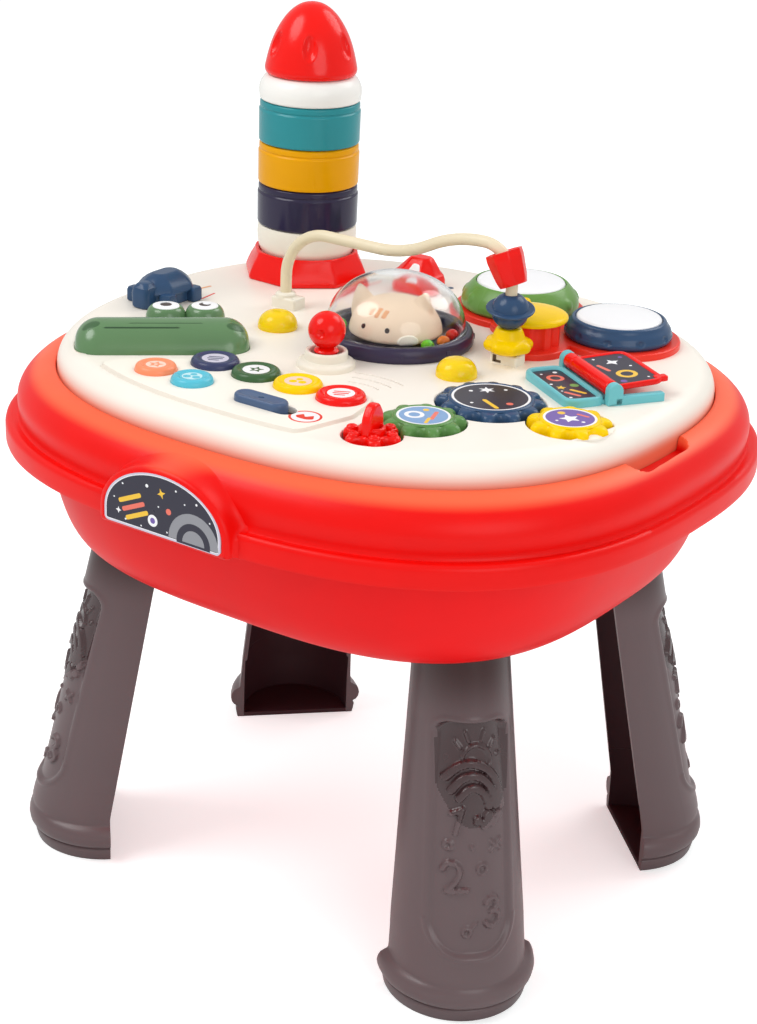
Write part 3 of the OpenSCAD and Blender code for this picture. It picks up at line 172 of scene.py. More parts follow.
STRIPE = plastic("print_orange", (240, 176, 128), 0.42)
SLOT_DARK = plastic("slot_shadow", (96, 78, 62), 0.6)
METAL = plastic("screw_steel", (176, 180, 186), 0.34, Metallic=1.0)
BOARD = plastic("board_green", (40, 110, 66), 0.4)
CELL = plastic("cell_green", (70, 140, 92), 0.35)
CONE = plastic("speaker_grey", (80, 84, 90), 0.6)


def ink(name, rgb, mottle=0.04):
    """Flat print on the plastic."""
    return plastic("print_" + name, rgb, 0.3, mottle)


PRINT_DARK = ink("night", (52, 50, 64))
PRINT_PURPLE = ink("purple", (116, 92, 168))
PRINT_BLUE = ink("blue", (128, 164, 208))
PRINT_YELLOW = ink("yellow", (244, 196, 62))
PRINT_CORAL = ink("coral", (238, 118, 100))
PRINT_GREEN = ink("green", (120, 172, 92))
PRINT_GREY = ink("grey", (146, 146, 152))
PRINT_LILAC = ink("lilac", (206, 202, 218), 0.03)
PRINT_WHITE = ink("white", (244, 244, 246), 0.02)
PRINT_RED = ink("red", (232, 66, 52))
PRINT_PINK = ink("pink", (255, 214, 196), 0.03)
PRINT_AQUA = ink("aqua", (196, 232, 238), 0.03)

CLEAR = plastic(
    "clear_dome", (253, 254, 254), 0.07, 0.002, 0.0, Transmission_Weight=1.0, IOR=1.36,
    Specular_IOR_Level=0.5,
)


# ------------------------------------------------------------------ outlines


def soften(points, radius, steps=4, closed=False):
    """Line with its corners rounded. A third number of a point is its own radius."""
    made, n = [], len(points)
    for i, p in enumerate(points):
        r = p[2] if len(p) > 2 else radius
        here = Vector(p[:2])
        if r == 0 or (not closed and i in (0, n - 1)):
            made.append(tuple(here))
            continue
        back = Vector(points[i - 1][:2]) - here
        on = Vector(points[(i + 1) % n][:2]) - here
        a = here + back.normalized() * min(r, 0.49 * back.length)
        b = here + on.normalized() * min(r, 0.49 * on.length)
        for k in range(steps + 1):
            t = k / steps
            made.append(tuple(a * (1 - t) ** 2 + here * 2 * t * (1 - t) + b * t * t))
    return made


def flow(points, steps=6):
    """Smooth line through points of any dimension."""
    pts = [Vector(p) for p in points]
    pts = [2 * pts[0] - pts[1], *pts, 2 * pts[-1] - pts[-2]]
    made = []
    for a, b, c, d in zip(pts, pts[1:], pts[2:], pts[3:]):
        for k in range(steps):
            t = k / steps
            made.append(
                (2 * b + (c - a) * t + (2 * a - 5 * b + 4 * c - d) * t**2
                 + (3 * b - a - 3 * c + d) * t**3) / 2
            )
    return [tuple(p) for p in made] + [tuple(pts[-2])]


def arc(cx, cy, r, start, end, steps):
    """Points on a circle from one angle to another, in degrees."""
    turns = [math.radians(start + (end - start) * k / steps) for k in range(steps + 1)]
    return [(cx + r * math.cos(t), cy + r * math.sin(t)) for t in turns]


def around(count):
    """Even turns of a circle, in radians."""
    return [math.tau * k / count for k in range(count)]


def ellipse(a, b, z, count):
    """Ring of an upright piece with an oval section."""
    return [(a * math.cos(t), b * math.sin(t), z) for t in around(count)]


def bow(wide, high, angles, low=0.0, power=1.0, dent=0.0):
    """Bulging profile of (radius, height) over angles in degrees, up to 90."""
    turns = [math.radians(a) for a in angles]
    return [(wide * math.cos(t) ** power - dent, low + high * math.sin(t)) for t in turns]


def placed(loop, cx, cy, turn):
    """Outline turned in degrees about the origin and then moved."""
    c, s = math.cos(math.radians(turn)), math.sin(math.radians(turn))
    return [(cx + x * c - y * s, cy + x * s + y * c) for x, y in loop]


def circle(cx, cy, r, steps=48, squash=1.0, turn=0.0):
    """Closed circle or ellipse."""
    loop = [(r * math.cos(t), r * squash * math.sin(t)) for t in around(steps)]
    return placed(loop, cx, cy, turn)


def stadium(cx, cy, half_l, half_w, turn=0.0, steps=14):
    """Closed slot shape with round ends."""
    flat = half_l - half_w
    loop = arc(flat, 0, half_w, -90, 90, steps) + arc(-flat, 0, half_w, 90, 270, steps)
    return placed(loop, cx, cy, turn)


def block(cx, cy, half_l, half_w, radius, turn=0.0, steps=6):
    """Closed rectangle with round corners."""
    loop = [(-half_l, -half_w), (half_l, -half_w), (half_l, half_w), (-half_l, half_w)]
    return placed(soften(loop, radius, steps, True), cx, cy, turn)


def eight_sided(half_l, half_w, corner, radius):
    """Closed rectangle with its corners cut off and then rounded."""
    a, b = half_l, half_w
    return soften(
        [(-a + corner, -b), (a - corner, -b), (a, -b + corner), (a, b - corner),
         (a - corner, b), (-a + corner, b), (-a, b - corner), (-a, -b + corner)],
        radius, 3, True,
    )


def star(cx, cy, outer, inner, points, turn=0.0, radius=0.2):
    """Closed star."""
    loop = []
    for k in range(2 * points):
        r = inner if k % 2 else outer
        t = math.radians(turn) + math.pi * k / points
        loop.append((cx + r * math.cos(t), cy + r * math.sin(t)))
    return soften(loop, radius, 2, True)


def shrink(loop, d):
    """Closed outline moved to its inside by d; a negative d moves it outwards."""
    made, n = [], len(loop)
    for i in range(n):
        p = Vector(loop[i][:2])
        a = (p - Vector(loop[i - 1][:2])).normalized()
        b = (Vector(loop[(i + 1) % n][:2]) - p).normalized()
        na, nb = Vector((-a.y, a.x)), Vector((-b.y, b.x))
        mid = na + nb
        mid = mid.normalized() if mid.length > 1e-6 else na
        made.append(tuple(p + mid * (d / max(0.45, mid.dot(na)))))
    return made


def raised(loops):
    """Rings from (z, outline) pairs."""
    return [[(x, y, z) for x, y in loop] for z, loop in loops]


def stepped(loop, steps):
    """Rings from an outline: for each (d, z), shrunk by d at height z."""
    return raised((z, shrink(loop, d)) for d, z in steps)


def turned(profile, steps, radius):
    """Rings from a (radius, height) profile turned round Z.
    radius(r, z, t) gives the radius at an angle."""
    rings = []
    for r, z in profile:
        spots = [(radius(r, z, t), t) for t in around(steps)]
        rings.append([(reach * math.cos(t), reach * math.sin(t), z) for reach, t in spots])
    return rings


def smooth_step(low, high, value):
    """0 up to low, 1 from high on, and a soft ramp between them."""
    t = min(1, max(0, (value - low) / (high - low)))
    return t * t * (3 - 2 * t)


def inside(p, loop):
    """Whether a point lies in a closed outline."""
    x, y = p
    hit = False
    for (ax, ay), (bx, by) in zip(loop, loop[1:] + loop[:1]):
        if (ay > y) != (by > y) and x < ax + (y - ay) * (bx - ax) / (by - ay):
            hit = not hit
    return hit


def union_outline(circles, step=3.0):
    """Counter-clockwise outline round overlapping circles, from the rightmost one on."""
    now = max(range(len(circles)), key=lambda k: circles[k][0] + circles[k][2])
    first, angle, made = now, 0.0, []
    for _ in range(4 * len(circles)):
        x, y, r = circles[now]
        end, after = 360.0 if now == first and angle < 0.01 else 720.0, None
        for other, (ox, oy, q) in enumerate(circles):
            d = math.hypot(ox - x, oy - y)
            if other == now or d >= r + q:
                continue
            towards = math.degrees(math.atan2(oy - y, ox - x))
            half = math.degrees(math.acos((d * d + r * r - q * q) / (2 * d * r)))
            hit = (towards - half - angle) % 360 + angle
            if hit - angle < 1e-3:
                continue
            if hit < end:
                end, after = hit, other
        if after is None or (now == first and made and angle < 360 <= end):
            end = 360.0
            made += arc(x, y, r, angle, end, max(2, int((end - angle) / step)))[:-1]
            break
        made += arc(x, y, r, angle, end, max(2, int((end - angle) / step)))[:-1]
        px = x + r * math.cos(math.radians(end))
        py = y + r * math.sin(math.radians(end))
        now = after
        angle = math.degrees(math.atan2(py - circles[now][1], px - circles[now][0])) % 360
    return made


# ------------------------------------------------------------------ meshes


def spin(axis, turn):
    """Place: turned about an axis through the origin, in degrees."""
    return Matrix.Rotation(math.radians(turn), 4, axis)


def towards(t, lean):
    """Unit vector at t radians round Z and lean degrees up."""
    flat = math.cos(math.radians(lean))
    return Vector((math.cos(t) * flat, math.sin(t) * flat, math.sin(math.radians(lean))))


def at(x, y, z, turn=0.0):
    """Place: turned about Z and then moved."""
    return Matrix.Translation((x, y, z)) @ spin("Z", turn)


class Form:
    """A mesh in the making, in millimetres."""

    def __init__(self):
        self.points, self.faces, self.paint = [], [], []

    def add(self, points, faces, paint=0, place=None):
        """Points and the faces between them, in one paint."""
        start = len(self.points)
        points = [Vector(p) for p in points]
        if place is not None:
            points = [place @ p for p in points]
        self.points += points
        self.faces += [[start + i for i in face] for face in faces]
        self.paint += [paint] * len(faces)
        return self

    def loft(self, rings, paint=0, place=None, caps=(True, True)):
        """Surface through closed rings, with its first and last ring capped or open."""
        n, last = len(rings[0]), len(rings) - 1
        faces = [[a + i, a + (i + 1) % n, a + n + (i + 1) % n, a + n + i]
                 for a in range(0, last * n, n) for i in range(n)]
        if caps[0]:
            faces.append(list(range(n))[::-1])
        if caps[1]:
            faces.append([last * n + i for i in range(n)])
        return self.add([p for ring in rings for p in ring], faces, paint, place)

    def strip(self, rows, paint=0, place=None):
        """Surface through open rows of points."""
        n = len(rows[0])
        faces = [
            [k * n + i, k * n + i + 1, (k + 1) * n + i + 1, (k + 1) * n + i]
            for k in range(len(rows) - 1)
            for i in range(n - 1)
        ]
        return self.add([p for row in rows for p in row], faces, paint, place)

    def lathe(self, profile, paint=0, place=None, steps=72, caps=(False, False)):
        """Profile of (radius, height), turned round Z."""
        return self.loft(turned(profile, steps, lambda r, z, t: r), paint, place, caps)

    def slab(self, loop, low, high, edge=0.8, paint=0, place=None, under=0.0):
        """Plate over a plan outline, with its upper and lower edges rounded."""
        rings = []
        if under:
            for k in range(4):
                t = math.radians(30 * k)
                rings.append((under * (1 - math.sin(t)), low + under * (1 - math.cos(t))))
        else:
            rings.append((0, low))
        for k in range(5):
            t = math.radians(22.5 * k)
            rings.append((edge * (1 - math.cos(t)), high - edge * (1 - math.sin(t))))
        rings.append((edge + 0.25, high))
        return self.loft(stepped(loop, rings), paint, place)

    def flat(self, loop, z, holes=(), paint=0, place=None, prints=()):
        """Flat sheet inside an outline and outside its holes.
        prints are (outline, paint); a later print lies over an earlier one."""
        points, edges = [], []
        for ring in [loop, *holes, *(p[0] for p in prints)]:
            start = len(points)
            points += [Vector(p[:2]) for p in ring]
            edges += [(start + i, start + (i + 1) % len(ring)) for i in range(len(ring))]
        points, _, faces = delaunay_2d_cdt(points, edges, [], 0, 1e-5)[:3]
        groups = {}
        for face in faces:
            middle = sum((points[i] for i in face), Vector((0, 0))) / len(face)
            if not inside(middle, loop) or any(inside(middle, h) for h in holes):
                continue
            shown = paint
            for ring, colour in prints:
                if inside(middle, ring):
                    shown = colour
            groups.setdefault(shown, []).append(list(face))
        for shown, chosen in groups.items():
            self.add([(p.x, p.y, z) for p in points], chosen, shown, place)
        return self

    def tube(self, path, radius, paint=0, steps=24, place=None):
        """Round rod along a path; radius is one number or one for each point."""
        path = [Vector(p) for p in path]
        radii = radius if isinstance(radius, list) else [radius] * len(path)
        rings, side = [], None
        for i, p in enumerate(path):
            on = (path[min(i + 1, len(path) - 1)] - path[max(i - 1, 0)]).normalized()
            if side is None:
                side = on.orthogonal().normalized()
            side = (side - on * side.dot(on)).normalized()
            other = on.cross(side)
            rings.append([p + (side * math.cos(t) + other * math.sin(t)) * radii[i]
                          for t in around(steps)])
        return self.loft(rings, paint, place)


def shown(name, mesh):
    """Object for a mesh, with its flat faces kept flat in the shading."""
    made = bpy.data.objects.new(name, mesh)
    bpy.context.scene.collection.objects.link(made)
    made.modifiers.new("normals", "WEIGHTED_NORMAL").keep_sharp = True
    return made


MERGE_GAP, SLIVER = 0.000004, 0.000002


def piece(name, form, materials, body="table", stands_for=(), slot=None, sharp=36):
    """Shown piece from a form. It rides on a body and may stand for CAD nodes."""
    mesh = bpy.data.meshes.new(name)
    mesh.from_pydata([p * MM for p in form.points], [], form.faces)
    for material in materials:
        mesh.materials.append(material)
    mesh.polygons.foreach_set("material_index", form.paint)
    build = bmesh.new()
    build.from_mesh(mesh)
    bmesh.ops.remove_doubles(build, verts=build.verts, dist=MERGE_GAP)
    bmesh.ops.dissolve_degenerate(build, edges=build.edges, dist=SLIVER)
    loose = [v for v in build.verts if not v.link_faces]
    bmesh.ops.delete(build, geom=loose, context="VERTS")
    bmesh.ops.recalc_face_normals(build, faces=build.faces)
    build.to_mesh(mesh)
    build.free()
    mesh.shade_smooth()
    mesh.set_sharp_from_angle(angle=math.radians(sharp))
    made = shown(name, mesh)
    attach(made, body)
    if stands_for:
        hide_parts(*stands_for)
    if slot or stands_for:
        slot or stands_for[0]
    return made


def dress(node, form, materials, moves=True, sharp=36):
    """Piece that stands for the CAD node it is named after."""
    body = node + "_body" if moves else "table"
    return piece(node + "_dressed", form, materials, body, (node,), sharp=sharp)


def melt(made, voxel=0.8, rounds=6):
    """Joins a piece's crossing parts into one skin with soft creases."""
    made.modifiers.clear()
    remesh = made.modifiers.new("join", "REMESH")
    remesh.mode = "VOXEL"
    remesh.voxel_size = voxel * MM
    remesh.use_smooth_shade = True
    smooth = made.modifiers.new("soften", "SMOOTH")
    smooth.factor = 0.5
    smooth.iterations = rounds
    return made


def skin_of(form):
    """Lookup of a form's surface for prints that lie on it."""
    return BVHTree.FromPolygons(form.points, form.faces)


CAST = 40  # how far off a surface a print starts its way down


def decal(form, skin, loop, place, paint=0, lift=0.12, rings=5):
    """Print with a star-shaped outline, dropped along its place's -Z onto a skin."""
    middle = Vector((
        sum(p[0] for p in loop) / len(loop), sum(p[1] for p in loop) / len(loop), 0
    ))
    down = (place.to_3x3() @ Vector((0, 0, -1))).normalized()
    rows = []
    for k in range(rings + 1):
        row = []
        for p in loop:
            flat = middle.lerp(Vector((p[0], p[1], 0)), max(0.02, k / rings))
            hit, normal = skin.ray_cast(place @ flat, down)[:2]
            if hit is None:
                hit, normal = skin.find_nearest(place @ flat)[:2]
            if normal.dot(down) > 0:
                normal = -normal
            row.append(hit + normal * (lift if k < rings else 0.0))
        rows.append(row)
    return form.loft(rows, paint, caps=(True, False))


# ------------------------------------------------------------------ the table's outline

WIDE, DEEP = 428 / 2, 396 / 2
LIP, SEAM, DECK, PAD = 273.0, 317.5, 333.0, 335.0
SEAM_IN = 25.0


def squareness(inset):
    """Power of the outline, which is that of a squared oval."""
    return 2.6 + (2.45 - 2.6) * min(1, max(0, inset / SEAM_IN))


def oval_point(t, inset, square=None):
    """Point of the outline, moved in from the lip's edge."""
    power = 2 / (square or squareness(inset))
    c, s = math.cos(t), math.sin(t)
    return (
        (WIDE - inset) * math.copysign(abs(c) ** power, c),
        (DEEP - inset) * math.copysign(abs(s) ** power, s),
    )


def oval_front(x, inset):
    """How far forward the outline reaches at x, as a negative Y."""
    n = squareness(inset)
    share = min(1, abs(x) / (WIDE - inset)) ** n
    return -(DEEP - inset) * (1 - share) ** (1 / n)


def even_turns(count, extra=()):
    """Outline parameters at even steps along the lip, with finer spans put in.
    extra is (from y, to y, step) on the right side."""
    fine = [math.tau * k / 4000 for k in range(4001)]
    spots = [Vector(oval_point(t, 0)) for t in fine]
    run = [0.0]
    for a, b in zip(spots, spots[1:]):
        run.append(run[-1] + (b - a).length)
    turns, k = [], 0
    for i in range(count):
        want = run[-1] * i / count
        while run[k + 1] < want:
            k += 1
        share = (want - run[k]) / (run[k + 1] - run[k])
        turns.append(fine[k] + (fine[k + 1] - fine[k]) * share)
    for low, high, step in extra:
        turns = [t for t in turns
                 if not (math.cos(t) > 0 and low <= oval_point(t, SEAM_IN)[1] <= high)]
        y = low
        while y <= high:
            share = min(1, abs(y) / (DEEP - SEAM_IN)) ** (squareness(SEAM_IN) / 2)
            turns.append(math.copysign(math.asin(share), y) % math.tau)
            y += step
    return sorted(turns)


def oval_ring(turns, inset, z, square=None):
    """The outline's points at one inset and height."""
    return [(*oval_point(t, inset, square), z) for t in turns]


# ------------------------------------------------------------------ tub

TURNS = even_turns(260)
TUB_SQUARE = 3.0
tub_wall = flow(
    [(154, 196.2), (114, 196), (82, 198), (62, 202.5), (48, 211), (39.5, 224), (33.5, 244),
     (30.8, 261), (30, 273)], 5,
)
tub = Form()
tub_rings = [oval_ring(TURNS, i, z, TUB_SQUARE) for i, z in [*tub_wall, (30, 281)]]
for z in (281, 284):
    tub_rings.append(oval_ring(TURNS, 3.4, z))
tub.loft(tub_rings, caps=(True, False))
piece("tub", tub, [TUB_RED], stands_for=("table_bowl",))


# ------------------------------------------------------------------ rim with its hood and badge

RIM_PROFILE = (
    [(3, 281), (3, 274), (2.4, 273.2), (1.4, 273), (0.5, 273.4), (0.1, 274.6), (0, 277)]
    + [(0, 280), (0, 283.6), (0.4, 285.6), (1.6, 286.9), (3.2, 287.2), (4.8, 286.9)]
    + [(6.0, 286.9), (6.7, 287.8), (6.9, 289.5)]
    + flow([(6.7, 291), (6.1, 296), (6.1, 300), (6.9, 303.6), (8.4, 307), (10.6, 310.2),
            (13.6, 313.2), (17, 315.4), (20.5, 316.8), (23.6, 317.5)], 3)
    + [(24.5, 317.3), (25, 316.6), (25, 312), (25, 305)]
)
NOTCH_AT, NOTCH_HALF_L, NOTCH_HALF_W, NOTCH_DEPTH = (189.0, -14.0), 28.0, 9.0, 8.0


def notch_share(x, y):
    """0 outside the finger notch and 1 on its floor."""
    over = max(0, abs(y - NOTCH_AT[1]) - (NOTCH_HALF_L - NOTCH_HALF_W))
    d = math.hypot(x - NOTCH_AT[0], over) - NOTCH_HALF_W
    return smooth_step(0, 1, 0.5 - d / 1.8)


def rim_profile_fine():
    """The rim's profile with closely spaced points on its roll."""
    made = []
    for (a, b), (c, d) in zip(RIM_PROFILE, RIM_PROFILE[1:]):
        parts = max(1, round(math.hypot(c - a, d - b) / 0.9)) if b > 305 and d > 312 else 1
        made += [(a + (c - a) * k / parts, b + (d - b) * k / parts) for k in range(parts)]
    return made + [RIM_PROFILE[-1]]


RIM_TURNS = even_turns(260, [(-46, 18, 0.9)])
rim = Form()
rings = []
for inset, z in rim_profile_fine():
    ring = []
    for x, y, _ in oval_ring(RIM_TURNS, inset, z):
        deep = notch_share(x, y)
        floor = SEAM - NOTCH_DEPTH
        ring.append((x, y, z + (floor - z) * deep if z > floor else z))
    rings.append(ring)
rim.loft(rings, caps=(False, False))

HOOD_FACE = -203.5


def badge_outline(half_w, straight, rise, corner, steps):
    """Half-round outline in X and Z, counter-clockwise, with round lower corners."""
    turns = [math.pi * k / 40 for k in range(41)]
    loop = [(-half_w, 0, corner), (half_w, 0, corner), (half_w, straight, corner)]
    loop += [(half_w * math.cos(t), straight + rise * math.sin(t), 0) for t in turns[1:]]
    return soften(loop, 0, steps, True)


def rim_front(x, z):
    """Y of the rim's front face at x and z."""
    steps = [p for p in RIM_PROFILE[5:] if p[0] < 24.6]
    inset = steps[-1][0]
    for (a, b), (c, d) in zip(steps, steps[1:]):
        if b <= z <= d:
            inset = a + (c - a) * (z - b) / max(1e-6, d - b)
            break
    if z <= steps[0][1]:
        inset = 0
    return oval_front(x, inset)


hood_loop = badge_outline(44.5, 9, 31, 2.5, 3)
rows = []
for inset, y in ((4.6, HOOD_FACE + 1.2), (3.4, HOOD_FACE + 0.02), (2.6, HOOD_FACE),
                 (1.3, HOOD_FACE + 0.35), (0.4, HOOD_FACE + 1.3), (0, HOOD_FACE + 2.6)):
    rows.append([(x, y, LIP + max(0, z)) for x, z in shrink(hood_loop, inset)])
for k in range(6):
    t = k / 5
    row = []
    for (x, z), (ox, oz) in zip(hood_loop, shrink(hood_loop, -4.0)):
        foot = rim_front(x, LIP + z)
        out = rim_front(ox, min(SEAM - 0.4, max(LIP, LIP + oz)))
        start = Vector((x, min(foot - 4, HOOD_FACE + 5), LIP + max(0, z)))
        corner = Vector((x, foot, LIP + max(0, z)))
        end = Vector((ox, out + 0.6, min(SEAM - 0.4, max(LIP + 0.1, LIP + oz))))
        row.append(tuple(start * (1 - t) ** 2 + corner * 2 * t * (1 - t) + end * t * t))
    rows.append(row)
rim.loft(rows, caps=(False, False))
piece("rim", rim, [RIM_RED], stands_for=("rim_shell",))

badge_loop = badge_outline(40.3, 8, 27.5, 3, 4)
badge = Form()
badge_place = at(0, HOOD_FACE, LIP + 1.8) @ spin("X", 90)
badge.slab(badge_loop, -1.9, 0, 0.35, 0, badge_place)
badge_field = shrink(badge_loop, 1.7)
badge_prints = [
    (shrink(badge_loop, 1.3), 2),
    (badge_field, 1),
    (circle(22, 2, 17, 40), 3), (circle(22, 2, 11.5, 36), 1), (circle(22, 2, 7.5, 30), 3),
    (block(-22, 17, 8.5, 1.3, 1.2, 24), 4), (block(-19.5, 12.6, 8.5, 1.3, 1.2, 24), 5),
    (block(-17, 8.2, 8.5, 1.3, 1.2, 24), 4),
    (star(0, 25, 3.0, 1.1, 4, 20), 4), (star(-30, 8, 2.0, 0.8, 4), 6),
    (circle(-6, 8, 3.4, 24), 6), (circle(-6, 8, 1.7, 20), 7),
    (circle(5, 16, 1.8, 18), 5), (circle(-10, 27, 1.0, 14), 6),
]
for x, y, r in ((-33, 15, 0.5), (-27, 24, 0.6), (-14, 3, 0.5), (-2, 17, 0.5), (10, 29, 0.6),
                (16, 23, 0.5), (24, 25, 0.7), (33, 17, 0.5), (-25, 4, 0.6), (4, 4, 0.5)):
    badge_prints.append((circle(x, y, r, 12), 6))
badge_prints = [(ring, paint) for ring, paint in badge_prints
                if paint in (1, 2) or all(inside(p, badge_field) for p in ring)] + [
    ([p for p in circle(22, 2, r, steps) if p[1] > 1.75], paint)
    for r, steps, paint in ((17, 40, 3), (11.5, 36, 1), (7.5, 30, 3))
]
badge.flat(shrink(badge_loop, 0.62), 0.05, (), 0, badge_place, badge_prints)
piece(
    "badge", badge,
    [PRINT_LILAC, PRINT_DARK, PRINT_WHITE, PRINT_GREY, PRINT_YELLOW, PRINT_CORAL,
     PRINT_WHITE, PRINT_PURPLE],
    stands_for=("badge_plate",),
)


# ------------------------------------------------------------------ toy panel


def gear_spot(start, distance, direction):
    """Gear centre at a distance and direction from another."""
    t = math.radians(direction)
    return (start[0] + distance * math.cos(t), start[1] + distance * math.sin(t))


TOOTH = 15.1
TEETH = {"blue": 12, "green": 9, "yellow": 9, "red": 6}
PITCH = {k: n * TOOTH / math.tau for k, n in TEETH.items()}
GEAR = {"blue": (103.5, -47.0)}
GREEN_WAY, RED_WAY = 256.8, 255.8
GEAR["green"] = gear_spot(GEAR["blue"], PITCH["blue"] + PITCH["green"], GREEN_WAY)
GEAR["yellow"] = gear_spot(GEAR["blue"], PITCH["blue"] + PITCH["yellow"], 0)
GEAR["red"] = gear_spot(GEAR["green"], PITCH["green"] + PITCH["red"], RED_WAY)

FROG_AT, FROG_TURN, FROG_R, FROG_HALF, FROG_END = (-96.0, -90.5), 42.0, 18.6, 50.5, 14.0
BUTTONS = {
    "navy": ((-48.5, -100), 14.0), "green": ((-19, -100), 14.0), "yellow": ((10.5, -100), 14.0),
    "red": ((40, -100), 14.0), "coral": ((-66.5, -130.5), 12.0), "sky": ((-38.5, -132.5), 12.0),
}
SLIDER_AT, SLIDER_HALF_L, SLIDER_HALF_W = (12.5, -135.5), 17.0, 6.5
TURTLE, RACER, FIGURE_RUN, FIGURE_SLOT = (-152.0, -26.0), (-52.0, 109.0), 8, (9.5, 3.2)
SPEAKER_AT, SPEAKER_ARC = (34, -96), (67, 113)
PLATE_IN, DECK_IN, DECK_ROLL = 39.4, 25.4, 12.5


def frog_radius(x, gap=0.0):
    """Radius of the frog's roller at a distance from its middle."""
    end, r, half = FROG_END + gap, FROG_R + gap, FROG_HALF + gap
    over = max(0, abs(x) - (half - end))
    return (r - end) + math.sqrt(max(0, end * end - over * over))


def frog_outline(gap, drop, steps=44):
    """Where the grown roller meets a plane at a height over its axis."""
    half = FROG_HALF + gap
    upper = []
    for k in range(steps + 1):
        x = half * math.cos(math.pi * k / steps)
        r = frog_radius(x, gap)
        upper.append((x, math.sqrt(max(0.3, r * r - drop * drop))))
    loop = upper + [(x, -y) for x, y in reversed(upper)]
    return placed(loop, *FROG_AT, FROG_TURN)


plate_front = [(x, oval_front(x, PLATE_IN)) for x in range(-98, 58, 6)]
keypad_loop = soften(
    [(*plate_front[0], 9), *((x, y, 0) for x, y in plate_front[1:-1]), (*plate_front[-1], 9),
     (61, -118, 3), (55, -90, 6), (46, -84, 8), (-46, -84, 8), (-57, -97, 3), (-96, -131, 9)],
    4, 6, True,
)

panel = Form()
roll = [(DECK_IN, 306), (DECK_IN, 316.4), (25.6, 317.3)]
for k in range(1, 13):
    t = math.radians(7.5 * k)
    roll.append((DECK_IN + DECK_ROLL * (1 - math.cos(t)), SEAM + (DECK - SEAM) * math.sin(t)))
panel.loft([oval_ring(TURNS, i, z) for i, z in roll], caps=(False, False))

TIP, WELL_GAP, FROG_DROP = 2.2, 0.8, 2.6
gear_well = union_outline([(*GEAR[k], PITCH[k] + TIP + WELL_GAP) for k in TEETH])
frog_well = frog_outline(WELL_GAP, FROG_DROP)
speaker_slots = [
    arc(*SPEAKER_AT, r + 1.4, *SPEAKER_ARC, 20) + arc(*SPEAKER_AT, r, *SPEAKER_ARC[::-1], 20)
    for r in (27, 35, 43)
]
figure_slots = [stadium(TURTLE[0], TURTLE[1] - FIGURE_RUN / 2, *FIGURE_SLOT, 90),
                stadium(RACER[0] - FIGURE_RUN / 2, RACER[1], *FIGURE_SLOT)]
plate_step = shrink(keypad_loop, -1.0)
deck_holes = [gear_well, frog_well, plate_step, *speaker_slots, *figure_slots]
panel.flat([p[:2] for p in oval_ring(TURNS, DECK_IN + DECK_ROLL, 0)], DECK, deck_holes)


def hole_wall(form, loop, top, depth, edge, floor=None):
    """Rounded edge and wall of a hole that goes down from a flat top."""
    rings = []
    for k in range(5):
        t = math.radians(22.5 * k)
        rings.append((edge * math.sin(t), top - edge * (1 - math.cos(t))))
    rings.append((edge, top - depth))
    form.loft(stepped(loop, rings), caps=(False, False))
    if floor is not None:
        form.flat(shrink(loop, edge), top - depth, (), floor)


hole_wall(panel, gear_well, DECK, 8, 0.7, floor=0)
hole_wall(panel, frog_well, DECK, 5, 0.7)
for loop in speaker_slots:
    hole_wall(panel, loop, DECK, 1.6, 0.2, floor=1)
for loop in figure_slots:
    hole_wall(panel, loop, DECK, 3, 0.4)

# Raised keypad plate: a soft step up, darker as a painted shadow line round the plate, then its top
# with the button holes
rise = [(k / 8, smooth_step(0, 1, k / 8)) for k in range(9)]
rows = stepped(keypad_loop, [(-1.0 + 1.5 * t, DECK + (PAD - DECK) * up) for t, up in rise])
panel.loft(rows, 7, caps=(False, False))
plate_top = [p[:2] for p in rows[-1]]
button_holes = [circle(*spot, r + 0.4, 56) for spot, r in BUTTONS.values()]
slider_hole = stadium(SLIDER_AT[0] + 3, SLIDER_AT[1], SLIDER_HALF_L + 3.4, SLIDER_HALF_W + 0.4)
MX, MY = 43.0, -136.2
mark = [(circle(MX, MY, 9.2, 44), 2), (circle(MX, MY, 7.8, 40), 3),
        (soften([(MX - 5.5, MY - 1.5), (MX - 3, MY + 3), (MX, MY - 0.5), (MX + 3, MY + 4),
                 (MX + 6, MY - 1), (MX + 3, MY - 3.5), (MX - 3, MY - 3.8)], 1.2, 3, True), 2)]
panel.flat(plate_top, PAD, [*button_holes, slider_hole], 4, None, mark)
for loop in button_holes:
    hole_wall(panel, loop, PAD, 5, 0.4)
hole_wall(panel, slider_hole, PAD, 3.4, 0.5, floor=1)
# Printed lines and dots behind the two sliding figures
for loop, paint in (
    (stadium(-151, 13, 7, 1.0, 80), 5), (stadium(-137.5, 1.5, 8, 0.7, 96), 2),
    (circle(-34.5, 120, 2.3, 24), 6), (circle(-30.5, 110, 1.4, 20), 6),
):
    panel.flat(loop, DECK + 0.06, (), paint)
piece(
    "toy_panel", panel,
    [CREAM, SLOT_DARK, PRINT_RED, PRINT_WHITE, KEYPAD, STRIPE, NAVY, KEYPAD_STEP_SHADOW],
    stands_for=("top_panel",),
)


# ------------------------------------------------------------------ legs


LEG_SPOT = (134.5, 100.0)
LEAN, LEAN_FROM = -0.186, 28
SHAFT_LOW, SHAFT_RUN = 46, 159
FOOT_HALF, FOOT_REACH = 42, 45
LEG_WALL, CHANNEL_TOP = 3, 187
PANEL_LOW, PANEL_HIGH = 41.5, 173.0


def leg_axis(z):
    """How far a leg's middle leans inwards at a height."""
    return LEAN * max(0, z - LEAN_FROM)


